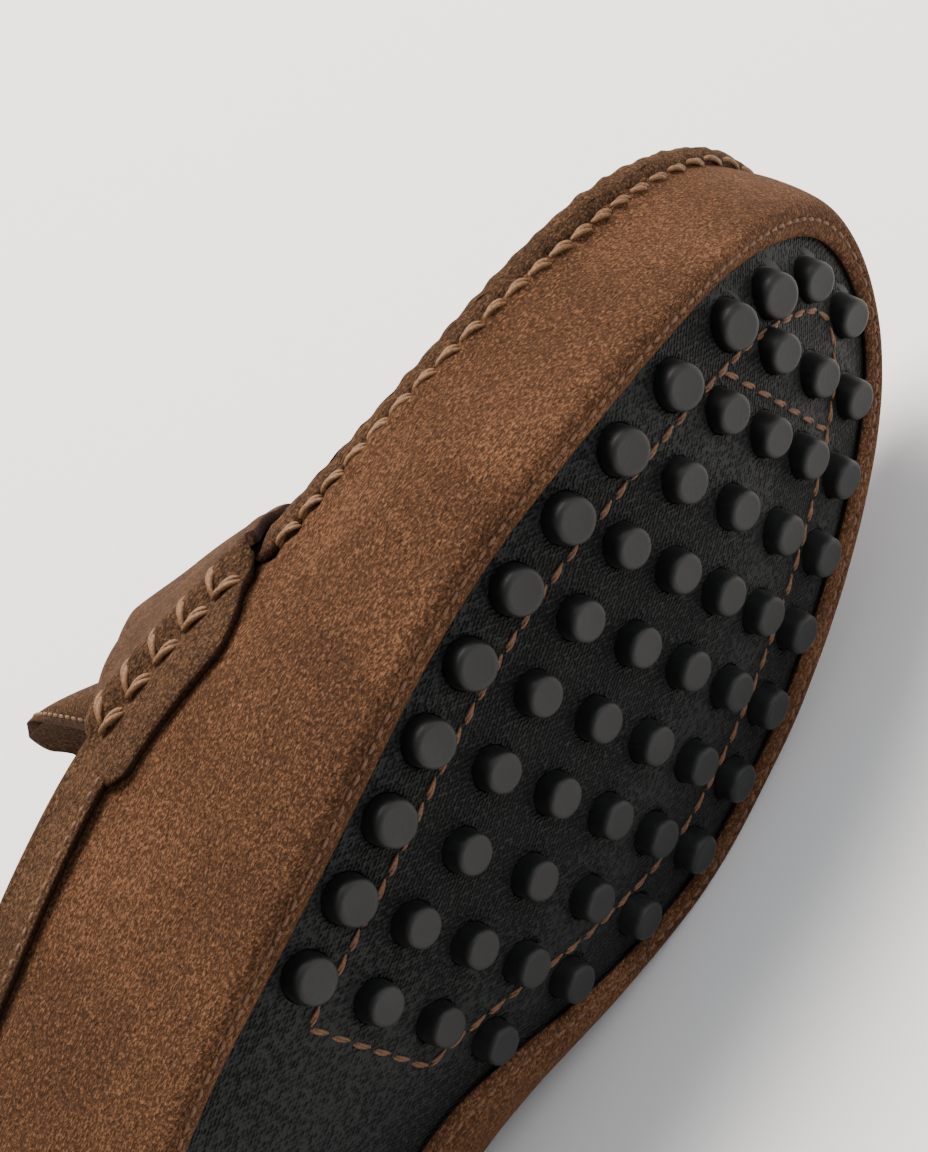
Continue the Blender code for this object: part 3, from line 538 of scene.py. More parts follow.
def suede(name, dark, middle, light):
    """Brushed split leather: a short nap that catches the light in streaks, with
    darker patches where it lies the other way."""
    material, tree, shader = start_material(name, middle, 0.92)
    if tree is None:
        return material
    place = add_node(tree, "ShaderNodeTexCoord").outputs["Object"]
    # The nap's tufts are about 1 mm, drawn a little coarser than real so they show
    streaks = add_node(tree, "ShaderNodeMapping", links={"Vector": place},
                       values={"Rotation": (0.5, 0.3, 0.9), "Scale": (1.0, 0.38, 1.0)})
    tufts = add_node(tree, "ShaderNodeTexNoise", links={"Vector": streaks.outputs["Vector"]},
                     values={"Scale": 2900.0, "Detail": 2.0, "Roughness": 0.6, "Distortion": 0.5})
    clumps = add_node(tree, "ShaderNodeTexNoise", links={"Vector": place},
                      values={"Scale": 1700.0, "Detail": 2.0, "Roughness": 0.6, "Distortion": 0.6})
    patches = add_node(tree, "ShaderNodeTexNoise", links={"Vector": place},
                       values={"Scale": 38.0, "Detail": 4.0, "Roughness": 0.55, "Distortion": 0.4})
    fine = add_node(tree, "ShaderNodeMix", data_type="FLOAT", values={"Factor": 0.45},
                    links={2: tufts.outputs["Fac"], 3: clumps.outputs["Fac"]})
    both = add_node(tree, "ShaderNodeMix", data_type="FLOAT", values={"Factor": 0.16},
                    links={2: fine.outputs[0], 3: patches.outputs["Fac"]})
    colour = add_node(tree, "ShaderNodeValToRGB", links={"Fac": both.outputs[0]},
                      stops=((0.37, dark), (0.50, middle), (0.63, light)))
    tree.links.new(colour.outputs["Color"], shader.inputs["Base Color"])
    nap = add_node(tree, "ShaderNodeBump", values={"Strength": 1.0, "Distance": 0.0007},
                   links={"Height": fine.outputs[0]})
    swell = add_node(tree, "ShaderNodeBump", values={"Strength": 0.35, "Distance": 0.0015},
                     links={"Height": patches.outputs["Fac"], "Normal": nap.outputs["Normal"]})
    tree.links.new(swell.outputs["Normal"], shader.inputs["Normal"])
    shader.inputs["Specular IOR Level"].default_value = 0.12
    shader.inputs["Sheen Weight"].default_value = 0.18
    shader.inputs["Sheen Roughness"].default_value = 0.45
    shader.inputs["Sheen Tint"].default_value = linear("#A8744A")
    return material


def side_suede():
    return suede("brushed_split_suede", "#22150C", bpy.context.scene.moccasin.side_colour, "#765239")


def overlay_suede():
    return suede("olive_brown_suede", "#1C120B", bpy.context.scene.moccasin.overlay_colour, "#674A34")


def cut_edge():
    """Raw cut edge of the split leather: dark, dry and fibrous."""
    material, tree, shader = start_material("raw_suede_edge", "#26160D", 0.95)
    if tree is None:
        return material
    place = add_node(tree, "ShaderNodeTexCoord").outputs["Object"]
    fibres = add_node(tree, "ShaderNodeTexNoise", links={"Vector": place},
                      values={"Scale": 1800.0, "Detail": 3.0, "Roughness": 0.6})
    colour = add_node(tree, "ShaderNodeValToRGB", links={"Fac": fibres.outputs["Fac"]},
                      stops=((0.35, "#180D07"), (0.65, "#3C2516")))
    tree.links.new(colour.outputs["Color"], shader.inputs["Base Color"])
    bump = add_node(tree, "ShaderNodeBump", values={"Strength": 0.7, "Distance": 0.0004},
                    links={"Height": fibres.outputs["Fac"]})
    tree.links.new(bump.outputs["Normal"], shader.inputs["Normal"])
    shader.inputs["Specular IOR Level"].default_value = 0.15
    return material


def lining_leather():
    """Vegetable tanned lining calf: smooth, tan, with small pores."""
    material, tree, shader = start_material("tan_lining_calf", "#8A5E36", 0.55)
    if tree is None:
        return material
    place = add_node(tree, "ShaderNodeTexCoord").outputs["Object"]
    grain = add_node(tree, "ShaderNodeTexVoronoi", links={"Vector": place}, values={"Scale": 900.0})
    shade = add_node(tree, "ShaderNodeTexNoise", links={"Vector": place},
                     values={"Scale": 45.0, "Detail": 4.0})
    colour = add_node(tree, "ShaderNodeValToRGB", links={"Fac": shade.outputs["Fac"]},
                      stops=((0.35, "#77502D"), (0.65, "#98703F")))
    tree.links.new(colour.outputs["Color"], shader.inputs["Base Color"])
    bump = add_node(tree, "ShaderNodeBump", values={"Strength": 0.3, "Distance": 0.0002},
                    links={"Height": grain.outputs["Distance"]})
    tree.links.new(bump.outputs["Normal"], shader.inputs["Normal"])
    return material


def woven_sheet():
    """Thin rubber sheet, calendered on cloth: rows of small slanting pits, with painted shade darkening
    them.
    """
    material, tree, shader = start_material("calendered_rubber_sheet", "#101111", 0.62)
    if tree is None:
        return material
    place = add_node(tree, "ShaderNodeTexCoord").outputs["Object"]
    # The sheet faces +X, so the pits' rows run in Y and Z. They are 1.4 x 0.7 mm
    slant = add_node(tree, "ShaderNodeMapping", links={"Vector": place},
                     values={"Rotation": (0.95, 0.0, 0.0), "Scale": (150.0, 900.0, 1750.0)})
    pits = add_node(tree, "ShaderNodeTexVoronoi", links={"Vector": slant.outputs["Vector"]},
                    values={"Scale": 1.0, "Randomness": 0.45})
    shade = add_node(tree, "ShaderNodeTexNoise", links={"Vector": place},
                     values={"Scale": 60.0, "Detail": 5.0, "Roughness": 0.6})
    # Painted shade: the colour is darkest at the pits' centres, where they are deepest, mixed with a
    # random tone
    tone = add_node(tree, "ShaderNodeMix", data_type="FLOAT", values={"Factor": 0.30},
                    links={2: pits.outputs["Distance"], 3: shade.outputs["Fac"]})
    colour = add_node(tree, "ShaderNodeValToRGB", links={"Fac": tone.outputs[0]},
                      stops=((0.24, "#040505"), (0.42, "#0C0D0D"), (0.60, "#1A1B1B")))
    tree.links.new(colour.outputs["Color"], shader.inputs["Base Color"])
    depth = add_node(tree, "ShaderNodeMapRange", links={"Value": pits.outputs["Distance"]},
                     values={"From Min": 0.15, "From Max": 0.60, "To Min": 0.0, "To Max": 1.0})
    bump = add_node(tree, "ShaderNodeBump", values={"Strength": 1.0, "Distance": 0.0006},
                    links={"Height": depth.outputs["Result"]})
    tree.links.new(bump.outputs["Normal"], shader.inputs["Normal"])
    shader.inputs["Specular IOR Level"].default_value = 0.18
    return material


def stud_rubber():
    """Moulded natural rubber: matte, with a soft sheen and a trace of dust."""
    material, tree, shader = start_material("moulded_stud_rubber", "#0D0E0E", 0.5)
    if tree is None:
        return material
    place = add_node(tree, "ShaderNodeTexCoord").outputs["Object"]
    dust = add_node(tree, "ShaderNodeTexNoise", links={"Vector": place},
                    values={"Scale": 1400.0, "Detail": 4.0, "Roughness": 0.7})
    shade = add_node(tree, "ShaderNodeTexNoise", links={"Vector": place},
                     values={"Scale": 110.0, "Detail": 2.0})
    tone = add_node(tree, "ShaderNodeMix", data_type="FLOAT", values={"Factor": 0.5},
                    links={2: shade.outputs["Fac"], 3: dust.outputs["Fac"]})
    colour = add_node(tree, "ShaderNodeValToRGB", links={"Fac": tone.outputs[0]},
                      stops=((0.36, "#0A0B0B"), (0.52, "#0E0F0F"), (0.70, "#1D1E1E")))
    tree.links.new(colour.outputs["Color"], shader.inputs["Base Color"])
    shader.inputs["Specular IOR Level"].default_value = 0.35
    rough = add_node(tree, "ShaderNodeMapRange", links={"Value": dust.outputs["Fac"]},
                     values={"To Min": 0.42, "To Max": 0.66})
    tree.links.new(rough.outputs["Result"], shader.inputs["Roughness"])
    bump = add_node(tree, "ShaderNodeBump", values={"Strength": 0.25, "Distance": 0.0002},
                    links={"Height": dust.outputs["Fac"]})
    tree.links.new(bump.outputs["Normal"], shader.inputs["Normal"])
    return material


def thread(name, dark, light):
    """Waxed linen thread: fine fibres along it and a dull shine."""
    material, tree, shader = start_material(name, light, 0.62)
    if tree is None:
        return material
    place = add_node(tree, "ShaderNodeTexCoord").outputs["Object"]
    fibres = add_node(tree, "ShaderNodeTexNoise", links={"Vector": place},
                      values={"Scale": 2600.0, "Detail": 3.0, "Roughness": 0.7, "Distortion": 1.2})
    colour = add_node(tree, "ShaderNodeValToRGB", links={"Fac": fibres.outputs["Fac"]},
                      stops=((0.36, dark), (0.60, light)))
    tree.links.new(colour.outputs["Color"], shader.inputs["Base Color"])
    bump = add_node(tree, "ShaderNodeBump", values={"Strength": 0.6, "Distance": 0.0002},
                    links={"Height": fibres.outputs["Fac"]})
    tree.links.new(bump.outputs["Normal"], shader.inputs["Normal"])
    return material


def hand_thread():
    return thread("waxed_hand_thread", "#3E2817", "#8A6038")


def machine_thread():
    return thread("brown_machine_thread", "#33200F", "#6E4526")


def pale_thread():
    return thread("pale_machine_thread", "#4C3822", "#8A6A42")


# Mesh helpers


def mesh_from(bm, name):
    """Turns a bmesh into a mesh and frees it."""
    mesh = bpy.data.meshes.new(name)
    bm.to_mesh(mesh)
    bm.free()
    return mesh


def add_object(name, data):
    thing = bpy.data.objects.new(name, data)
    bpy.context.scene.collection.objects.link(thing)
    return thing


def grid_on(place, columns, rows, lift=None, closed=False):
    """A bmesh grid laid onto a surface, u and v from 0 to 1, then moved along its
    outward normals by lift(u, v)."""
    bm = bmesh.new()
    bmesh.ops.create_grid(bm, x_segments=columns, y_segments=rows, size=0.5)
    along = bm.verts.layers.float.new("along")
    across = bm.verts.layers.float.new("across")
    for vert in bm.verts:
        vert[along] = vert.co.x + 0.5
        vert[across] = vert.co.y + 0.5
        vert.co = place(vert[along], vert[across])
    if closed:
        bmesh.ops.remove_doubles(bm, verts=bm.verts, dist=0.00001)
    bmesh.ops.recalc_face_normals(bm, faces=bm.faces)
    outward = 0.0
    for face in bm.faces:
        middle = face.calc_center_median()
        outward += face.normal.dot(middle - inside_of(middle))
    if outward < 0.0:
        bmesh.ops.reverse_faces(bm, faces=bm.faces)
    bm.normal_update()
    if lift:
        moves = [vert.normal * lift(vert[along], vert[across]) for vert in bm.verts]
        for vert, move in zip(bm.verts, moves):
            vert.co += move
    return bm


def finish_piece(name, bm, materials, replaced=()):
    """Turns a bmesh in the shoe's frame into a piece that rides with the shoe."""
    bmesh.ops.transform(bm, matrix=LYING, verts=bm.verts)
    mesh = mesh_from(bm, name)
    for material in materials:
        mesh.materials.append(material)
    mesh.shade_smooth()
    piece = add_object(name, mesh)
    if replaced:
        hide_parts(*replaced)
    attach(piece, "root")
    return piece


def give_wall(piece, thickness, edge_slot=1, inner_slot=2):
    """Gives an open outer face its thickness inward, with materials of their own for
    the edge and the inner face."""
    wall = piece.modifiers.new("wall", "SOLIDIFY")
    wall.thickness = thickness
    wall.offset = -1.0
    wall.use_even_offset = False
    wall.material_offset = inner_slot
    wall.material_offset_rim = edge_slot


def cut_with(piece, name, cutter_mesh, material):
    """Cuts a closed mesh out of a piece and keeps the evaluated shape."""
    cutter_mesh.materials.append(material)
    cutter = add_object(name, cutter_mesh)
    cut = piece.modifiers.new(name, "BOOLEAN")
    cut.operation = "DIFFERENCE"
    cut.solver = "EXACT"
    cut.object = cutter
    bpy.context.view_layer.update()
    evaluated = piece.evaluated_get(bpy.context.evaluated_depsgraph_get())
    mesh = bpy.data.meshes.new_from_object(evaluated)
    piece.modifiers.clear()
    piece.data = mesh
    bpy.data.objects.remove(cutter)


def add_copies(bm, template, places):
    """Adds a copy of a template mesh at each matrix."""
    for place in places:
        copy = template.copy()
        copy.transform(place)
        bm.from_mesh(copy)
        bpy.data.meshes.remove(copy)


def thread_template(name, length, radius, sag, plies=2, sides=8, steps=14):
    """A stitch of twisted thread along X that dips at both ends by sag. Its plies are
    blunt at their ends and wind about each other."""
    bm = bmesh.new()
    for ply in range(plies):
        made = bmesh.ops.create_uvsphere(bm, u_segments=sides, v_segments=steps, radius=1.0)
        for vert in made["verts"]:
            x, y, z = vert.co.z, vert.co.x, vert.co.y
            full = 1.0 - abs(x) ** 3.0 * 0.18
            ring = math.sqrt(max(1.0 - abs(x) ** 9.0, 0.0)) / max(math.sqrt(max(1.0 - x * x, 0.0)), 0.1)
            twist = x * 1.3 + ply * math.pi
            off = radius * 0.42 if plies > 1 else 0.0
            thick = radius * (0.66 if plies > 1 else 1.0) * full * min(ring, 3.0)
            vert.co = Vector((x * length / 2.0, y * thick + math.cos(twist) * off,
                              z * thick + math.sin(twist) * off - sag * x * x))
    bmesh.ops.recalc_face_normals(bm, faces=bm.faces)
    return mesh_from(bm, name)


def stitch_matrix(place, forward, up):
    return Matrix.Translation(place) @ axes_from(forward, up).to_4x4()


def stitch_row(path, normals, pitch, slant=0.0):
    """Matrices of stitches at an even pitch along a path on a surface."""
    lengths = running_lengths(path)
    count = int(lengths[-1] / pitch)
    found = []
    for k in range(count):
        want = (k + 0.5) * lengths[-1] / count
        place, way = point_at(path, lengths, want)
        i = min(range(len(path)), key=lambda n: abs(lengths[n] - want))
        up = normals[i]
        forward = way * math.cos(slant) + up.cross(way) * math.sin(slant)
        found.append(stitch_matrix(place, forward, up))
    return found


# Seam: its length along the rim, from which puckers and stitches are spaced

SEAM_PITCH = 5.6 * MM
SEAM_SAMPLES = 720
SEAM_PATH = [wall_point(i / SEAM_SAMPLES, 3.0) for i in range(SEAM_SAMPLES + 1)]
SEAM_LENGTHS = running_lengths(SEAM_PATH)


def seam_length(turn):
    spot = (turn % 1.0) * SEAM_SAMPLES
    i = min(int(spot), SEAM_SAMPLES - 1)
    return SEAM_LENGTHS[i] + (SEAM_LENGTHS[i + 1] - SEAM_LENGTHS[i]) * (spot - i)


THROAT_TURN = turn_at_rim_y(THROAT_Y)
ROLL_START = turn_at_rim_y(0.594 * LAST_LENGTH)
BAND_TURN = turn_at_rim_y(0.480 * LAST_LENGTH)
SEAM_START = seam_length(THROAT_TURN)


def pucker(turn):
    """1 between two stitches of the seam, 0 under a stitch."""
    return 0.5 - 0.5 * math.cos(2.0 * math.pi * (seam_length(turn) - SEAM_START) / SEAM_PITCH)


def seam_fade(turn):
    """1 along the moccasin seam, 0 along the collar."""
    y = rim_point(turn).y
    return min(max((y - THROAT_Y + 12.0 * MM) / (10.0 * MM), 0.0), 1.0)


def soft_swell(place, size, height):
    return noise.noise(place / size) * height


def dent_at(turn, up):
    """Height of the worn-in dents and swells at a place of the side."""
    total = 0.0
    here = seam_length(turn)
    for spot, level, reach, reach_up, height in SOFT_DENTS:
        away = (here - seam_length(spot)) / reach
        above = (up - level) / reach_up
        total += height * math.exp(-away * away - above * above)
    return total


def side_normal(turn, up, step_up=0.03):
    """Outward normal of the side's face."""
    return normal_of(wall_point, turn, up, 0.003, step_up)


def seam_way(turn):
    """Direction from the rim into the open, between the side's and the top's."""
    side = side_normal(turn, UNDER_RIM)
    return (side + Vector((0.0, 0.0, 1.15))).normalized()


def level_of(v):
    """The side's up value at a share of the grid: a tenth of it is the lap."""
    return 10.0 * v if v < 0.1 else 1.0 + (v - 0.1) / 0.9 * 2.0


# Upper


def build_side(sizes):
    """Side and quarters: skived at the window, grooved for its stitches, gathered
    under the seam and softly dented."""
    def place(u, v):
        return wall_point(u, level_of(v))

    def lift(u, v):
        up = level_of(v)
        free = min(max((up - 1.0) / 0.35, 0.0), 1.0)
        skive = SKIVE_DEPTH * (1.0 - min(up / 0.8, 1.0)) ** 2
        fade = seam_fade(u)
        down = (3.0 - up) * SIDE_FACE_HEIGHT
        gather = math.exp(-(down / GATHER_REACH) ** 2) * (pucker(u) - 0.5) * sizes.pucker_height
        rise = math.exp(-((down - SWELL_PLACE) / SWELL_REACH) ** 2) * SWELL_HEIGHT
        spot = wall_point(u, up)
        relief = soft_swell(spot, 26.0 * MM, 0.55 * MM) + soft_swell(spot, 9.0 * MM, 0.14 * MM)
        groove = GROOVE_DEPTH * math.exp(-((up - GROOVE_UP) / 0.16) ** 2)
        return (UPPER_WALL - skive - groove + fade * (gather + rise)
                + free * (relief + dent_at(u, up)))

    side = finish_piece("suede_side", grid_on(place, 700, 50, lift, closed=True),
                        [side_suede(), cut_edge(), lining_leather()], ("upper",))
    give_wall(side, UPPER_WALL)


def apron_turn(u):
    return THROAT_TURN + (0.5 - THROAT_TURN) * u


def build_apron(sizes):
    """Apron over the toes and instep, puckered a little along its rim."""
    def place(u, v):
        return top_point(apron_turn(u), 2.0 * v - 1.0)

    def lift(u, v):
        turn = apron_turn(u)
        half_width = (wall_point(turn, 3.0) - wall_point(1.0 - turn, 3.0)).length / 2.0
        off_rim = (1.0 - abs(2.0 * v - 1.0)) * half_width
        lip = math.exp(-(off_rim / (3.0 * MM)) ** 2) * sizes.pucker_height * pucker(turn) * 0.6
        spot = place(u, v)
        return UPPER_WALL + lip + soft_swell(spot, 24.0 * MM, 0.5 * MM) * min(off_rim / (8.0 * MM), 1.0)

    apron = finish_piece("suede_apron", grid_on(place, 260, 70, lift, closed=True),
                         [side_suede(), cut_edge(), lining_leather()])
    give_wall(apron, UPPER_WALL)


def seam_axes(turn):
    """At the seam: toeward way, the side's normal, the way up its face, and out."""
    normal = side_normal(turn, 2.93)
    ahead = (wall_point(turn + 0.002, 3.0) - wall_point(turn - 0.002, 3.0)).normalized()
    out = seam_way(turn)
    climb = (out - normal * out.dot(normal)).normalized()
    return (-ahead if turn > 0.5 else ahead), normal, climb, out


def toward_toe(turn):
    """0 at the throat, 1 at the toe."""
    share = (rim_point(turn).y - THROAT_Y) / (RIM_LENGTH - THROAT_Y)
    return min(max(share, 0.0), 1.0)


def build_seam_roll(sizes):
    """The apron's turned-up edge, gathered a little at every stitch. It is wide at
    the throat and slims down toward the toe."""
    def place(u, v):
        turn = ROLL_START + (1.0 - 2.0 * ROLL_START) * u
        _, normal, climb, _ = seam_axes(turn)
        spot = wall_point(turn, 3.0)
        ragged = 1.0 + 0.10 * noise.noise(spot / (2.4 * MM) + Vector((v * 5.0, 0.0, 0.0)))
        toe = toward_toe(turn)
        slim = 1.0 - 0.24 * toe + 0.16 * toe ** 5
        radius = sizes.roll_radius * (0.92 + 0.12 * pucker(turn)) * ragged * slim
        radius *= min(0.25 + 0.75 * min(u, 1.0 - u) / 0.016, 1.0)
        tall = 1.65 - 0.40 * toe
        angle = 2.0 * math.pi * v
        core = spot + normal * (2.3 - 1.6 * toe + 1.3 * toe ** 6) * MM - climb * (0.9 - 0.4 * toe) * MM
        return core + (normal * math.cos(angle) + climb * math.sin(angle) * tall) * radius

    finish_piece("gathered_seam", grid_on(place, 1300, 16, None, closed=True),
                 [overlay_suede()])


def build_seam_thread(sizes):
    """Hand thread: a slanting bar a stitch, in the groove under the turned edge."""
    bar = thread_template("seam_bar", length=5.3 * MM, radius=sizes.hand_thread_radius, sag=0.9 * MM)
    first = seam_length(ROLL_START)
    count = int((SEAM_LENGTHS[-1] - 2.0 * first) / SEAM_PITCH)
    turns = [ROLL_START + (1.0 - 2.0 * ROLL_START) * i / 1800.0 for i in range(1801)]
    marks = [seam_length(turn) for turn in turns]
    start = SEAM_START + math.ceil((first - SEAM_START) / SEAM_PITCH) * SEAM_PITCH
    bars = []
    spot = 0
    for k in range(count):
        want = start + (k + 0.5) * SEAM_PITCH
        while spot < len(marks) - 1 and marks[spot] < want:
            spot += 1
        turn = turns[spot]
        ahead, normal, climb, out = seam_axes(turn)
        jitter = noise.noise(wall_point(turn, 3.0) * 900.0)
        toe = toward_toe(turn)
        slant = math.radians(9.0 + 6.0 * jitter)
        place = (wall_point(turn, 3.0) - climb * (4.9 - 1.9 * toe) * MM
                 + normal * (UPPER_WALL + (1.0 - 0.2 * toe) * MM))
        lean = (normal + out * 0.2).normalized()
        bars.append(stitch_matrix(place, ahead * math.cos(slant) - climb * math.sin(slant), lean))
    bm = bmesh.new()
    add_copies(bm, bar, bars)
    finish_piece("seam_thread", bm, [hand_thread()])


# Strap, tongue and collar


def outer_skin(turn, place_up):
    """From the outer side's widest line over the crown to the inner side's."""
    if place_up < 1.0:
        return wall_point(turn, 2.0 + place_up)
    if place_up <= 3.0:
        return top_point(turn, place_up - 2.0)
    return wall_point(1.0 - turn, 6.0 - place_up)


def strap_spot(across, along):
    """A point of the last under the strap and the way the strap lifts off it."""
    tab = max(abs(across) - STRAP_RIM_SHARE, 0.0) / (1.0 - STRAP_RIM_SHARE)
    flare = min((max(abs(across) - STRAP_FLARE_START, 0.0)) / (1.0 - STRAP_FLARE_START), 1.0)
    flare = flare * flare * (3.0 - 2.0 * flare)
    back = STRAP_BACK_MIDDLE + (STRAP_BACK_END - STRAP_BACK_MIDDLE) * flare
    front = STRAP_FRONT_MIDDLE + (STRAP_FRONT_END - STRAP_FRONT_MIDDLE) * flare
    y = back + (front - back) * along
    turn = turn_at_rim_y(y)
    drop = STRAP_DROP / max((wall_point(turn, 3.0) - wall_point(turn, 2.0)).length, STRAP_DROP)
    height = 1.0 - drop * tab if tab > 0.0 else 2.0 - abs(across) / STRAP_RIM_SHARE
    spot = height if across < 0.0 else 4.0 - height

    def surface(u, v):
        return outer_skin(turn_at_rim_y(v), u)

    normal = normal_of(surface, spot, y, 0.05, 0.004)
    way = Vector((normal.x, 0.0, normal.z))
    return outer_skin(turn, spot), way / way.length_squared


def strap_reach(along):
    """Share of the strap's half that is there: less at the ends of its tab."""
    front = max(along - 0.62, 0.0) / 0.38
    back = max(0.10 - along, 0.0) / 0.10
    return 1.03 - 0.155 * front ** 1.6 - 0.04 * back ** 2.0


def strap_lift(across, along):
    """Height of the strap's outer face over the last's surface."""
    off_rim = (abs(across) - STRAP_RIM_SHARE) / 0.16
    ridge = 1.6 * MM * max(1.0 - off_rim ** 2, 0.0)
    gathers = 0.5 + 0.5 * math.cos(2.0 * math.pi * (along - V_FIRST) / V_STEP)
    seam = 1.6 * MM * math.exp(-((abs(across) - 0.835) / 0.045) ** 2) * (1.0 - 0.30 * gathers)
    arch = 2.6 * MM * math.exp(-((abs(across) - 0.50) / 0.22) ** 2) * (1.0 - along) ** 0.7
    valley = -0.9 * MM * math.exp(-((abs(across) - V_ROOT) / 0.022) ** 2)
    edge = min(along, 1.0 - along) / 0.05
    round_off = -0.6 * MM * (1.0 - min(edge, 1.0)) ** 2
    thin = -0.9 * MM * max(1.0 - (strap_reach(along) - abs(across)) / 0.05, 0.0) ** 1.5
    base = UPPER_WALL + SKIN_GAP + 0.2 * MM + STRAP_THICKNESS
    return base + ridge + seam + arch + valley + round_off + thin


def slot_cutter():
    """The penny slot and a short slit at each of its ends, as closed bars."""
    bm = bmesh.new()
    bars = ((0.0, SLOT_HALF_SIZE), (-SLIT_ACROSS, SLIT_HALF_SIZE), (SLIT_ACROSS, SLIT_HALF_SIZE))
    for across, (half_x, half_y) in bars:
        middle, way = strap_spot(across, SLOT_FRONT_SHARE)
        made = bmesh.ops.create_cone(bm, cap_ends=True, segments=28, radius1=1.0, radius2=1.0,
                                     depth=1.0)
        shape = Matrix.Diagonal((half_x, half_y, 22.0 * MM, 1.0))
        turn = Vector((0.0, 0.0, 1.0)).rotation_difference(way).to_matrix().to_4x4()
        bmesh.ops.transform(bm, matrix=LYING @ Matrix.Translation(middle) @ turn @ shape,
                            verts=made["verts"])
    return mesh_from(bm, "slot_cut")


def build_strap():
    def place(u, v):
        across = (-1.0 + 2.0 * u) * strap_reach(v)
        spot, way = strap_spot(across, v)
        swell = soft_swell(spot, 14.0 * MM, 0.35 * MM)
        return spot + way * (strap_lift(across, v) + swell)

    strap = finish_piece("penny_strap", grid_on(place, 190, 56),
                         [overlay_suede(), cut_edge(), cut_edge()],
                         ("saddle_strap",))
    give_wall(strap, STRAP_THICKNESS)
    cut_with(strap, "slot", slot_cutter(), cut_edge())


def build_strap_thread(sizes):
    """V-shaped whip stitches that hold each end of the strap."""
    radius = sizes.hand_thread_radius * 1.05
    upper_bar = thread_template("strap_upper_bar", length=7.4 * MM, radius=radius, sag=1.7 * MM)
    lower_bar = thread_template("strap_lower_bar", length=6.0 * MM, radius=radius, sag=0.9 * MM)

    def on_strap(across, along, extra):
        spot, way = strap_spot(across, along)
        return spot + way * (strap_lift(across, along) + extra)

    uppers, lowers = [], []
    for side in (-1.0, 1.0):
        for k in range(V_COUNT):
            along = V_FIRST + V_STEP * k
            root = on_strap(side * V_ROOT, along, 0.7 * MM)
            crest = on_strap(side * V_CREST, along + 0.030, 0.0)
            next_root = on_strap(side * (V_ROOT + 0.018), along + V_STEP * 0.90, 0.7 * MM)
            up = strap_spot(side * 0.85, along)[1].normalized()
            uppers.append(stitch_matrix((root + crest) / 2.0 + up * 1.0 * MM, crest - root, up))
            low_up = strap_spot(side * V_ROOT, along)[1].normalized()
            lowers.append(stitch_matrix((root + next_root) / 2.0 + low_up * 0.4 * MM,
                                        next_root - root, low_up))
    bm = bmesh.new()
    add_copies(bm, upper_bar, uppers)
    add_copies(bm, lower_bar, lowers)
    finish_piece("strap_thread", bm, [hand_thread()])


def tongue_point(along, across):
    """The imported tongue's inner face: along from throat to tip, across from -1 to 1."""
    y = THROAT_Y - THROAT_GAP - along * TONGUE_LENGTH
    turn = turn_at_rim_y(y)
    outer, inner = rim_point(turn).x, rim_point(1.0 - turn).x
    tip = max(along - TONGUE_TIP_START, 0.0) / (1.0 - TONGUE_TIP_START)
    half = TONGUE_WIDTH / 2.0 * math.sqrt(1.0 - TONGUE_TIP_NARROWING * tip ** 2.6)
    place = top_point(turn, across * half / ((inner - outer) / 2.0))
    lift = max(along - TONGUE_LIFT_START, 0.0) / (1.0 - TONGUE_LIFT_START)
    place.z += TONGUE_RISE * lift ** 1.6 - TONGUE_FLANK_DROP * along * abs(across) ** 2.4
    place.y += TONGUE_EDGE_LEAN * TONGUE_LENGTH * lift * abs(across) ** 3.0
    return place


def build_tongue(sizes):
    """The tongue stands up behind the strap, its flanks folded down, with a row of
    stitches along its edge."""
    def place(u, v):
        across = 2.0 * v - 1.0
        spot = tongue_point(u, across)
        stand = max(u - TONGUE_LIFT_START, 0.0) / (1.0 - TONGUE_LIFT_START)
        spot.z += TONGUE_STAND * stand ** 1.3 - sizes.tongue_fold * u * abs(across) ** 3.2
        spot.y += TONGUE_LEAD * u
        return spot + Vector((0.0, 0.0, TONGUE_THICKNESS + soft_swell(spot, 15.0 * MM, 0.5 * MM)))

    tongue = finish_piece("suede_tongue", grid_on(place, 60, 80),
                          [overlay_suede(), cut_edge(), overlay_suede()], ("tongue",))
    give_wall(tongue, TONGUE_THICKNESS)
    path, normals = [], []
    row_side, row_end = 0.90, 0.955
    row = [(k / 30.0 * row_end, -row_side) for k in range(6, 31)]
    row += [(row_end, -row_side + 2.0 * row_side * k / 40.0) for k in range(1, 40)]
    row += [(k / 30.0 * row_end, row_side) for k in range(30, 5, -1)]
    for u, across in row:
        v = (across + 1.0) / 2.0
        normal = normal_of(place, min(u, 0.99), v, 0.01, 0.01)
        path.append(place(u, v) + normal * 0.05 * MM)
        normals.append(normal)
    stitch = thread_template("tongue_stitch", length=1.7 * MM, radius=0.32 * MM, sag=0.25 * MM,
                             plies=1, sides=6, steps=6)
    bm = bmesh.new()
    add_copies(bm, stitch, stitch_row(path, normals, 2.3 * MM))
    finish_piece("tongue_stitches", bm, [pale_thread()])


def band_point(u, v):
    """The band's place under the rim: u around the heel, v from rim to lower edge."""
    turn = BAND_TURN - 2.0 * BAND_TURN * u
    rim, widest = wall_point(turn, 3.0), wall_point(turn, 2.0)
    depth = BAND_DEPTH / max((rim - widest).length, BAND_DEPTH)
    return wall_point(turn, 3.0 - depth * v)


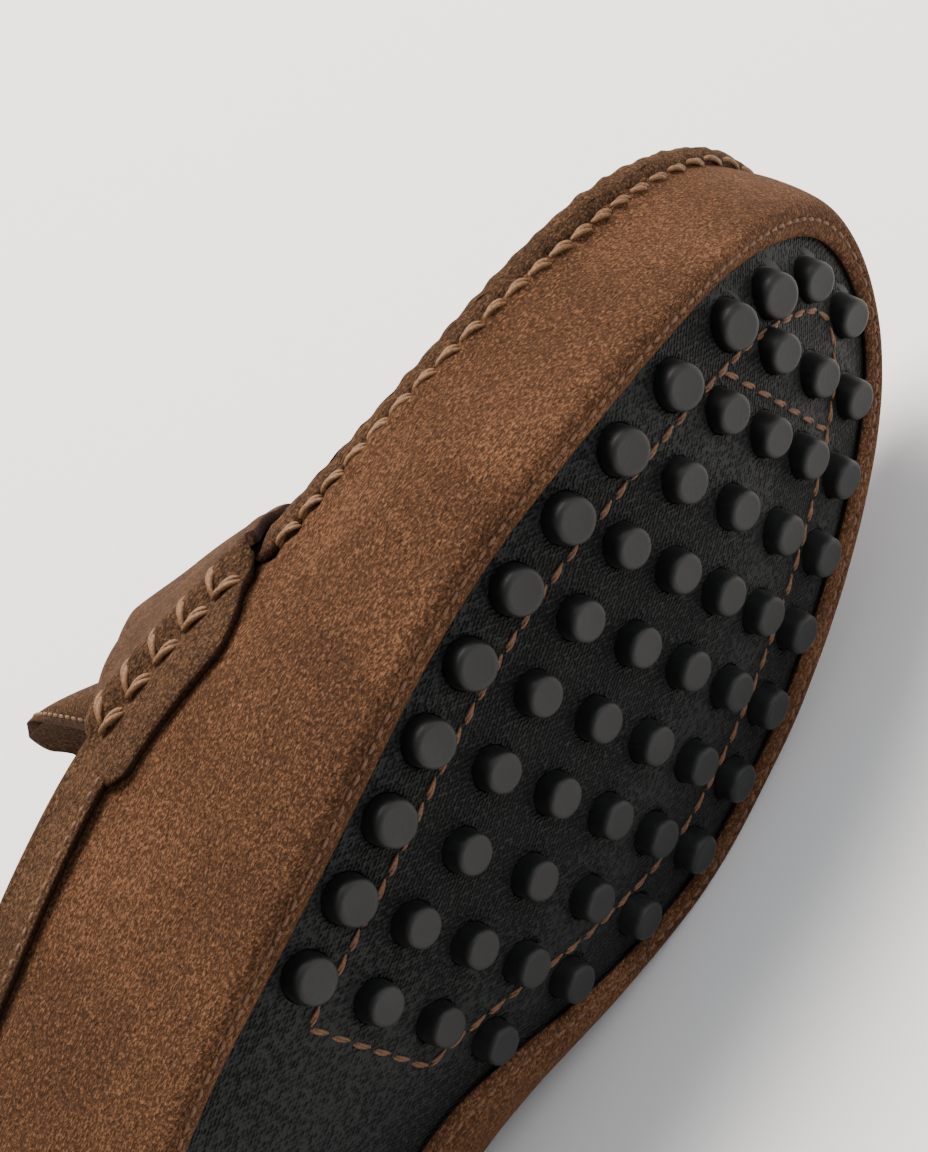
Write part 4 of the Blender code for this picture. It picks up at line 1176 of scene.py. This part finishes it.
def build_collar():
    """The band under the collar, the roll over its top and the row that holds it."""
    def lift(u, v):
        fold = math.exp(-(v / 0.12) ** 2) * 0.5 * MM
        hem = math.exp(-((v - 0.90) / 0.07) ** 2) * 0.35 * MM
        ends = min(u, 1.0 - u) / 0.02
        return UPPER_WALL + SKIN_GAP + (BAND_THICKNESS + fold + hem) * min(0.6 + 0.4 * ends, 1.0)

    band = finish_piece("suede_collar_band", grid_on(band_point, 300, 26, lift),
                        [overlay_suede(), cut_edge(), cut_edge()],
                        ("collar_band",))
    give_wall(band, BAND_THICKNESS)

    def topline(u, v):
        turn = BAND_TURN - 2.0 * BAND_TURN * u
        side = side_normal(turn, UNDER_RIM)
        core = wall_point(turn, 3.0) + side * 1.6 * MM
        angle = 2.0 * math.pi * v
        radius = 2.1 * MM * min(max(min(u, 1.0 - u) / 0.006, 0.3), 1.0)
        return core + side * math.cos(angle) * radius + Vector((0, 0, 1)) * math.sin(angle) * radius

    finish_piece("collar_roll", grid_on(topline, 300, 14, None, closed=True),
                 [overlay_suede()])
    row_down = 0.90
    path, normals = [], []
    for i in range(301):
        u = i / 300.0
        normal = normal_of(band_point, min(max(u, 0.01), 0.99), row_down, 0.004, 0.04)
        path.append(band_point(u, row_down) + normal * (UPPER_WALL + SKIN_GAP + 1.75 * MM))
        normals.append(normal)
    stitch = thread_template("collar_stitch", length=2.0 * MM, radius=0.38 * MM, sag=0.3 * MM,
                             plies=1, sides=6, steps=6)
    bm = bmesh.new()
    add_copies(bm, stitch, stitch_row(path, normals, 2.7 * MM, slant=0.15))
    finish_piece("collar_stitches", bm, [machine_thread()])


# Sole


def sheet_flat(u, v):
    """A flat place of the sheet: u heel to toe, v outer to inner edge."""
    turn = 0.5 * u
    outer = lap_point(turn, LAP - 0.7 * MM)
    inner = lap_point(1.0 - turn, LAP - 0.7 * MM)
    return outer.lerp(inner, v)


def hole_cutter():
    """A punch through the sheet at every stud."""
    punch = bmesh.new()
    bmesh.ops.create_cone(punch, cap_ends=True, segments=STUD_SIDES, radius1=HOLE_RADIUS,
                          radius2=HOLE_RADIUS, depth=HOLE_DEPTH)
    forefoot, heel = stud_places()
    holes = bmesh.new()
    add_copies(holes, mesh_from(punch, "punch"),
               [LYING @ stud_matrix(flat, stud_size(flat)) for flat in forefoot + heel])
    return mesh_from(holes, "punched_holes")


def build_sheet():
    def place(u, v):
        return on_sole(sheet_flat(u, v))

    sheet = finish_piece("pitted_sole_sheet", grid_on(place, 200, 60, None, closed=True),
                         [woven_sheet(), stud_rubber()], ("sole_sheet",))
    give_wall(sheet, SHEET_THICKNESS, inner_slot=0)
    cut_with(sheet, "holes", hole_cutter(), stud_rubber())


def stud_matrix(flat, size):
    """Carries a stud modelled along +Z from the sheet's face to its place."""
    down = sole_down(flat)
    width = Matrix.Diagonal((size, size, 1.0, 1.0))
    return stitch_matrix(on_sole(flat), Vector((0.0, 1.0, 0.0)), down) @ width


def stud_size(flat):
    """The studs along the outer edge are a little wider than those of the pad."""
    edge = min((flat - point).length for point in OUTER_EDGE)
    return EDGE_STUD_SIZE if edge < STUD_EDGE_INSET + 1.0 * MM else PAD_STUD_SIZE


OUTER_EDGE = [window_point(i / 240.0) for i in range(110)]


def build_studs():
    """Each stud is its profile spun round, with a wide foot under the sheet."""
    bm = bmesh.new()
    verts = [bm.verts.new((radius * MM, 0.0, height * MM)) for radius, height in STUD_PROFILE]
    for a, b in zip(verts, verts[1:]):
        bm.edges.new((a, b))
    bmesh.ops.spin(bm, geom=bm.verts[:] + bm.edges[:], cent=(0, 0, 0), axis=(0, 0, 1),
                   angle=2.0 * math.pi, steps=STUD_SIDES, use_merge=True)
    bmesh.ops.remove_doubles(bm, verts=bm.verts, dist=0.00001)
    bmesh.ops.recalc_face_normals(bm, faces=bm.faces)
    template = mesh_from(bm, "stud")
    forefoot, heel = stud_places()
    for name, places, node in (("forefoot_studs", forefoot, "forefoot_stud_pad"),
                               ("heel_studs", heel, "heel_stud_pad")):
        studs = bmesh.new()
        add_copies(studs, template, [stud_matrix(flat, stud_size(flat)) for flat in places])
        finish_piece(name, studs, [stud_rubber()], (node,))


def pad_stitch_lines():
    """Flat paths on the sheet: round the pad's front, across its back, across its toe."""
    ring = window_ring(PAD_STITCH_INSET)
    way = row_way(STUD_ROW_SLANT)
    ahead = Vector((-way.y, way.x))
    back_line = Vector((0.0, FIRST_ROW_Y - 0.55 * STUD_ROW_PITCH))
    toe_line = Vector((0.0, FIRST_ROW_Y + 8.45 * STUD_ROW_PITCH))
    outer, inner = cross_outline(ring, back_line, way)
    front = [p for p in ring if (p - back_line).dot(ahead) > 0.0]
    while (front[0] - outer).length > (front[-1] - outer).length + 40.0 * MM:
        front = front[1:] + front[:1]
    toe_outer, toe_inner = cross_outline(ring, toe_line, way)
    return ([outer] + front + [inner],
            [inner.lerp(outer, k / 12.0) for k in range(13)],
            [toe_outer.lerp(toe_inner, k / 12.0) for k in range(13)])


def build_sole_stitches():
    """The pad's stitch lines on the sheet, and the row along the suede's margin."""
    stitch = thread_template("pad_stitch", length=4.0 * MM, radius=0.52 * MM, sag=0.40 * MM,
                             plies=2, sides=6, steps=8)
    bm = bmesh.new()
    for flats in pad_stitch_lines():
        points = [on_sole(flat, 0.12 * MM) for flat in flats]
        normals = [sole_down(flat) for flat in flats]
        add_copies(bm, stitch, stitch_row(points, normals, 4.4 * MM, slant=0.10))
    finish_piece("pad_stitches", bm, [machine_thread()])

    small = thread_template("margin_stitch", length=2.2 * MM, radius=0.40 * MM, sag=0.30 * MM,
                            plies=1, sides=6, steps=6)
    margin, normals = [], []
    for i in range(601):
        turn = i / 600.0
        normal = side_normal(turn, GROOVE_UP, 0.04)
        margin.append(wall_point(turn, GROOVE_UP) + normal * (UPPER_WALL - 0.25 * MM))
        normals.append(normal)
    bm = bmesh.new()
    add_copies(bm, small, stitch_row(margin, normals, 2.7 * MM))
    finish_piece("margin_stitches", bm, [machine_thread()])


def dress_insole():
    """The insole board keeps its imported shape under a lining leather."""
    node = frame["nodes"]["insole"]
    node.data.materials.clear()
    node.data.materials.append(lining_leather())


# Stage

# The camera was fitted to the photo's studs, sheet edge and seam; its turn is in degrees
CAMERA_PLACE = (0.52016, -0.09822, 0.49236)
CAMERA_TURN = (40.3396, 33.6983, 40.2902)
CAMERA_LENS = 156.40
FLOOR_HALF_SIZE = 4.0
SIDE_LIGHT_SHARE = 0.16


def area_light(name, place, aim, size, power, colour):
    lamp = bpy.data.lights.new(name, "AREA")
    lamp.shape = "SQUARE"
    lamp.size = size
    lamp.energy = power
    lamp.color = linear(colour)[:3]
    holder = add_object(name, lamp)
    holder.location = place
    holder.rotation_euler = (Vector(aim) - Vector(place)).to_track_quat("-Z", "Y").to_euler()


def add_camera():
    camera = bpy.data.cameras.new("camera")
    camera.lens = CAMERA_LENS
    camera.sensor_width = 36.0
    camera.sensor_fit = "HORIZONTAL"
    camera.clip_end = 20.0
    holder = add_object("camera", camera)
    holder.location = CAMERA_PLACE
    holder.rotation_euler = [math.radians(angle) for angle in CAMERA_TURN]
    bpy.context.scene.camera = holder


def add_floor():
    bm = bmesh.new()
    bmesh.ops.create_grid(bm, x_segments=1, y_segments=1, size=FLOOR_HALF_SIZE)
    mesh = mesh_from(bm, "pale_floor")
    mesh.materials.append(start_material("matte_pale_floor", "#FBFBFA", 0.9)[0])
    add_object("pale_floor", mesh)


def build_stage(sizes):
    """A pale floor in a white room, a large softbox above and a weak cool one aside."""
    add_camera()
    add_floor()
    world = bpy.data.worlds.new("studio")
    world.use_nodes = True
    background = world.node_tree.nodes["Background"]
    background.inputs["Color"].default_value = linear("#FFFFFF")
    background.inputs["Strength"].default_value = sizes.fill_strength
    bpy.context.scene.world = world
    area_light("key_softbox", place=(-0.55, 0.40, 1.40), aim=(0.0, 0.02, 0.04), size=0.9,
               power=sizes.key_power, colour="#FFF8F0")
    area_light("side_softbox", place=(1.10, 0.75, 0.85), aim=(0.05, 0.05, 0.05), size=0.8,
               power=sizes.key_power * SIDE_LIGHT_SHARE, colour="#F2F6FF")


# Add-on


class MoccasinSizes(PropertyGroup):
    """Sizes, colours and lights that a user would change."""
    pucker_height: FloatProperty(
        name="Pucker height", description="How far the suede gathers between two seam stitches",
        default=0.9 * MM, min=0.0, max=3.0 * MM, unit="LENGTH")
    tongue_fold: FloatProperty(
        name="Tongue fold", description="How far the tongue's flanks fold down at its tip",
        default=21.0 * MM, min=0.0, max=30.0 * MM, unit="LENGTH")
    roll_radius: FloatProperty(
        name="Seam roll radius", description="Radius of the apron's turned-up edge",
        default=2.45 * MM, min=1.0 * MM, max=5.0 * MM, unit="LENGTH")
    hand_thread_radius: FloatProperty(
        name="Hand thread radius", description="Radius of the waxed thread of seam and strap",
        default=0.80 * MM, min=0.3 * MM, max=1.5 * MM, unit="LENGTH")
    side_colour: FloatVectorProperty(
        name="Side suede", description="Middle tone of the brushed suede of side and apron",
        default=linear("#432B1B")[:3], size=3, min=0.0, max=1.0, subtype="COLOR")
    overlay_colour: FloatVectorProperty(
        name="Overlay suede", description="Middle tone of strap, tongue, band and turned edge",
        default=linear("#3D2A1C")[:3], size=3, min=0.0, max=1.0, subtype="COLOR")
    key_power: FloatProperty(
        name="Key power", description="Power of the large softbox above the shoe",
        default=62.0, min=0.0, max=500.0, unit="POWER")
    fill_strength: FloatProperty(
        name="Fill", description="Strength of the white room around the shoe",
        default=0.42, min=0.0, max=10.0, subtype="FACTOR")


class MOCCASIN_OT_upper(Operator):
    """Suede side, apron and gathered seam"""
    bl_idname = "moccasin.upper"
    bl_label = "Upper"

    def execute(self, context):
        build_side(context.scene.moccasin)
        build_apron(context.scene.moccasin)
        build_seam_roll(context.scene.moccasin)
        return {"FINISHED"}


class MOCCASIN_OT_seam_thread(Operator):
    """Hand thread of the seam"""
    bl_idname = "moccasin.seam_thread"
    bl_label = "Seam thread"

    def execute(self, context):
        build_seam_thread(context.scene.moccasin)
        return {"FINISHED"}


class MOCCASIN_OT_strap(Operator):
    """Penny strap with its whip stitches"""
    bl_idname = "moccasin.strap"
    bl_label = "Strap"

    def execute(self, context):
        build_strap()
        build_strap_thread(context.scene.moccasin)
        return {"FINISHED"}


class MOCCASIN_OT_tongue(Operator):
    """Tongue with its stitch row"""
    bl_idname = "moccasin.tongue"
    bl_label = "Tongue"

    def execute(self, context):
        build_tongue(context.scene.moccasin)
        return {"FINISHED"}


class MOCCASIN_OT_collar(Operator):
    """Collar band, roll and stitches"""
    bl_idname = "moccasin.collar"
    bl_label = "Collar"

    def execute(self, context):
        build_collar()
        return {"FINISHED"}


class MOCCASIN_OT_sole(Operator):
    """Pitted sheet, its studs and its stitches"""
    bl_idname = "moccasin.sole"
    bl_label = "Sole"

    def execute(self, context):
        build_sheet()
        build_studs()
        build_sole_stitches()
        return {"FINISHED"}


class MOCCASIN_OT_lining(Operator):
    """Lining leather of the insole"""
    bl_idname = "moccasin.lining"
    bl_label = "Lining"

    def execute(self, context):
        dress_insole()
        return {"FINISHED"}


class MOCCASIN_OT_stage(Operator):
    """Camera, floor and studio light"""
    bl_idname = "moccasin.stage"
    bl_label = "Stage"

    def execute(self, context):
        build_stage(context.scene.moccasin)
        return {"FINISHED"}


OPERATORS = (
    MOCCASIN_OT_upper,
    MOCCASIN_OT_seam_thread,
    MOCCASIN_OT_strap,
    MOCCASIN_OT_tongue,
    MOCCASIN_OT_collar,
    MOCCASIN_OT_sole,
    MOCCASIN_OT_lining,
    MOCCASIN_OT_stage,
)


class MOCCASIN_PT_panel(Panel):
    """Lists the moccasin's pieces in the sidebar"""
    bl_label = "Moccasin"
    bl_space_type = "VIEW_3D"
    bl_region_type = "UI"
    bl_category = "Moccasin"

    def draw(self, context):
        sizes = context.scene.moccasin
        for name in ("pucker_height", "roll_radius", "tongue_fold", "hand_thread_radius",
                     "side_colour", "overlay_colour", "key_power", "fill_strength"):
            self.layout.prop(sizes, name)
        for operator in OPERATORS:
            self.layout.operator(operator.bl_idname)


def register():
    for cls in (MoccasinSizes,) + OPERATORS + (MOCCASIN_PT_panel,):
        bpy.utils.register_class(cls)
    bpy.types.Scene.moccasin = PointerProperty(type=MoccasinSizes)


def unregister():
    del bpy.types.Scene.moccasin
    for cls in reversed((MoccasinSizes,) + OPERATORS + (MOCCASIN_PT_panel,)):
        bpy.utils.unregister_class(cls)


def main():
    register()
    bpy.ops.moccasin.upper()
    bpy.ops.moccasin.seam_thread()
    bpy.ops.moccasin.strap()
    bpy.ops.moccasin.tongue()
    bpy.ops.moccasin.collar()
    bpy.ops.moccasin.sole()
    bpy.ops.moccasin.lining()
    bpy.ops.moccasin.stage()


if __name__ == "__main__":
    main()
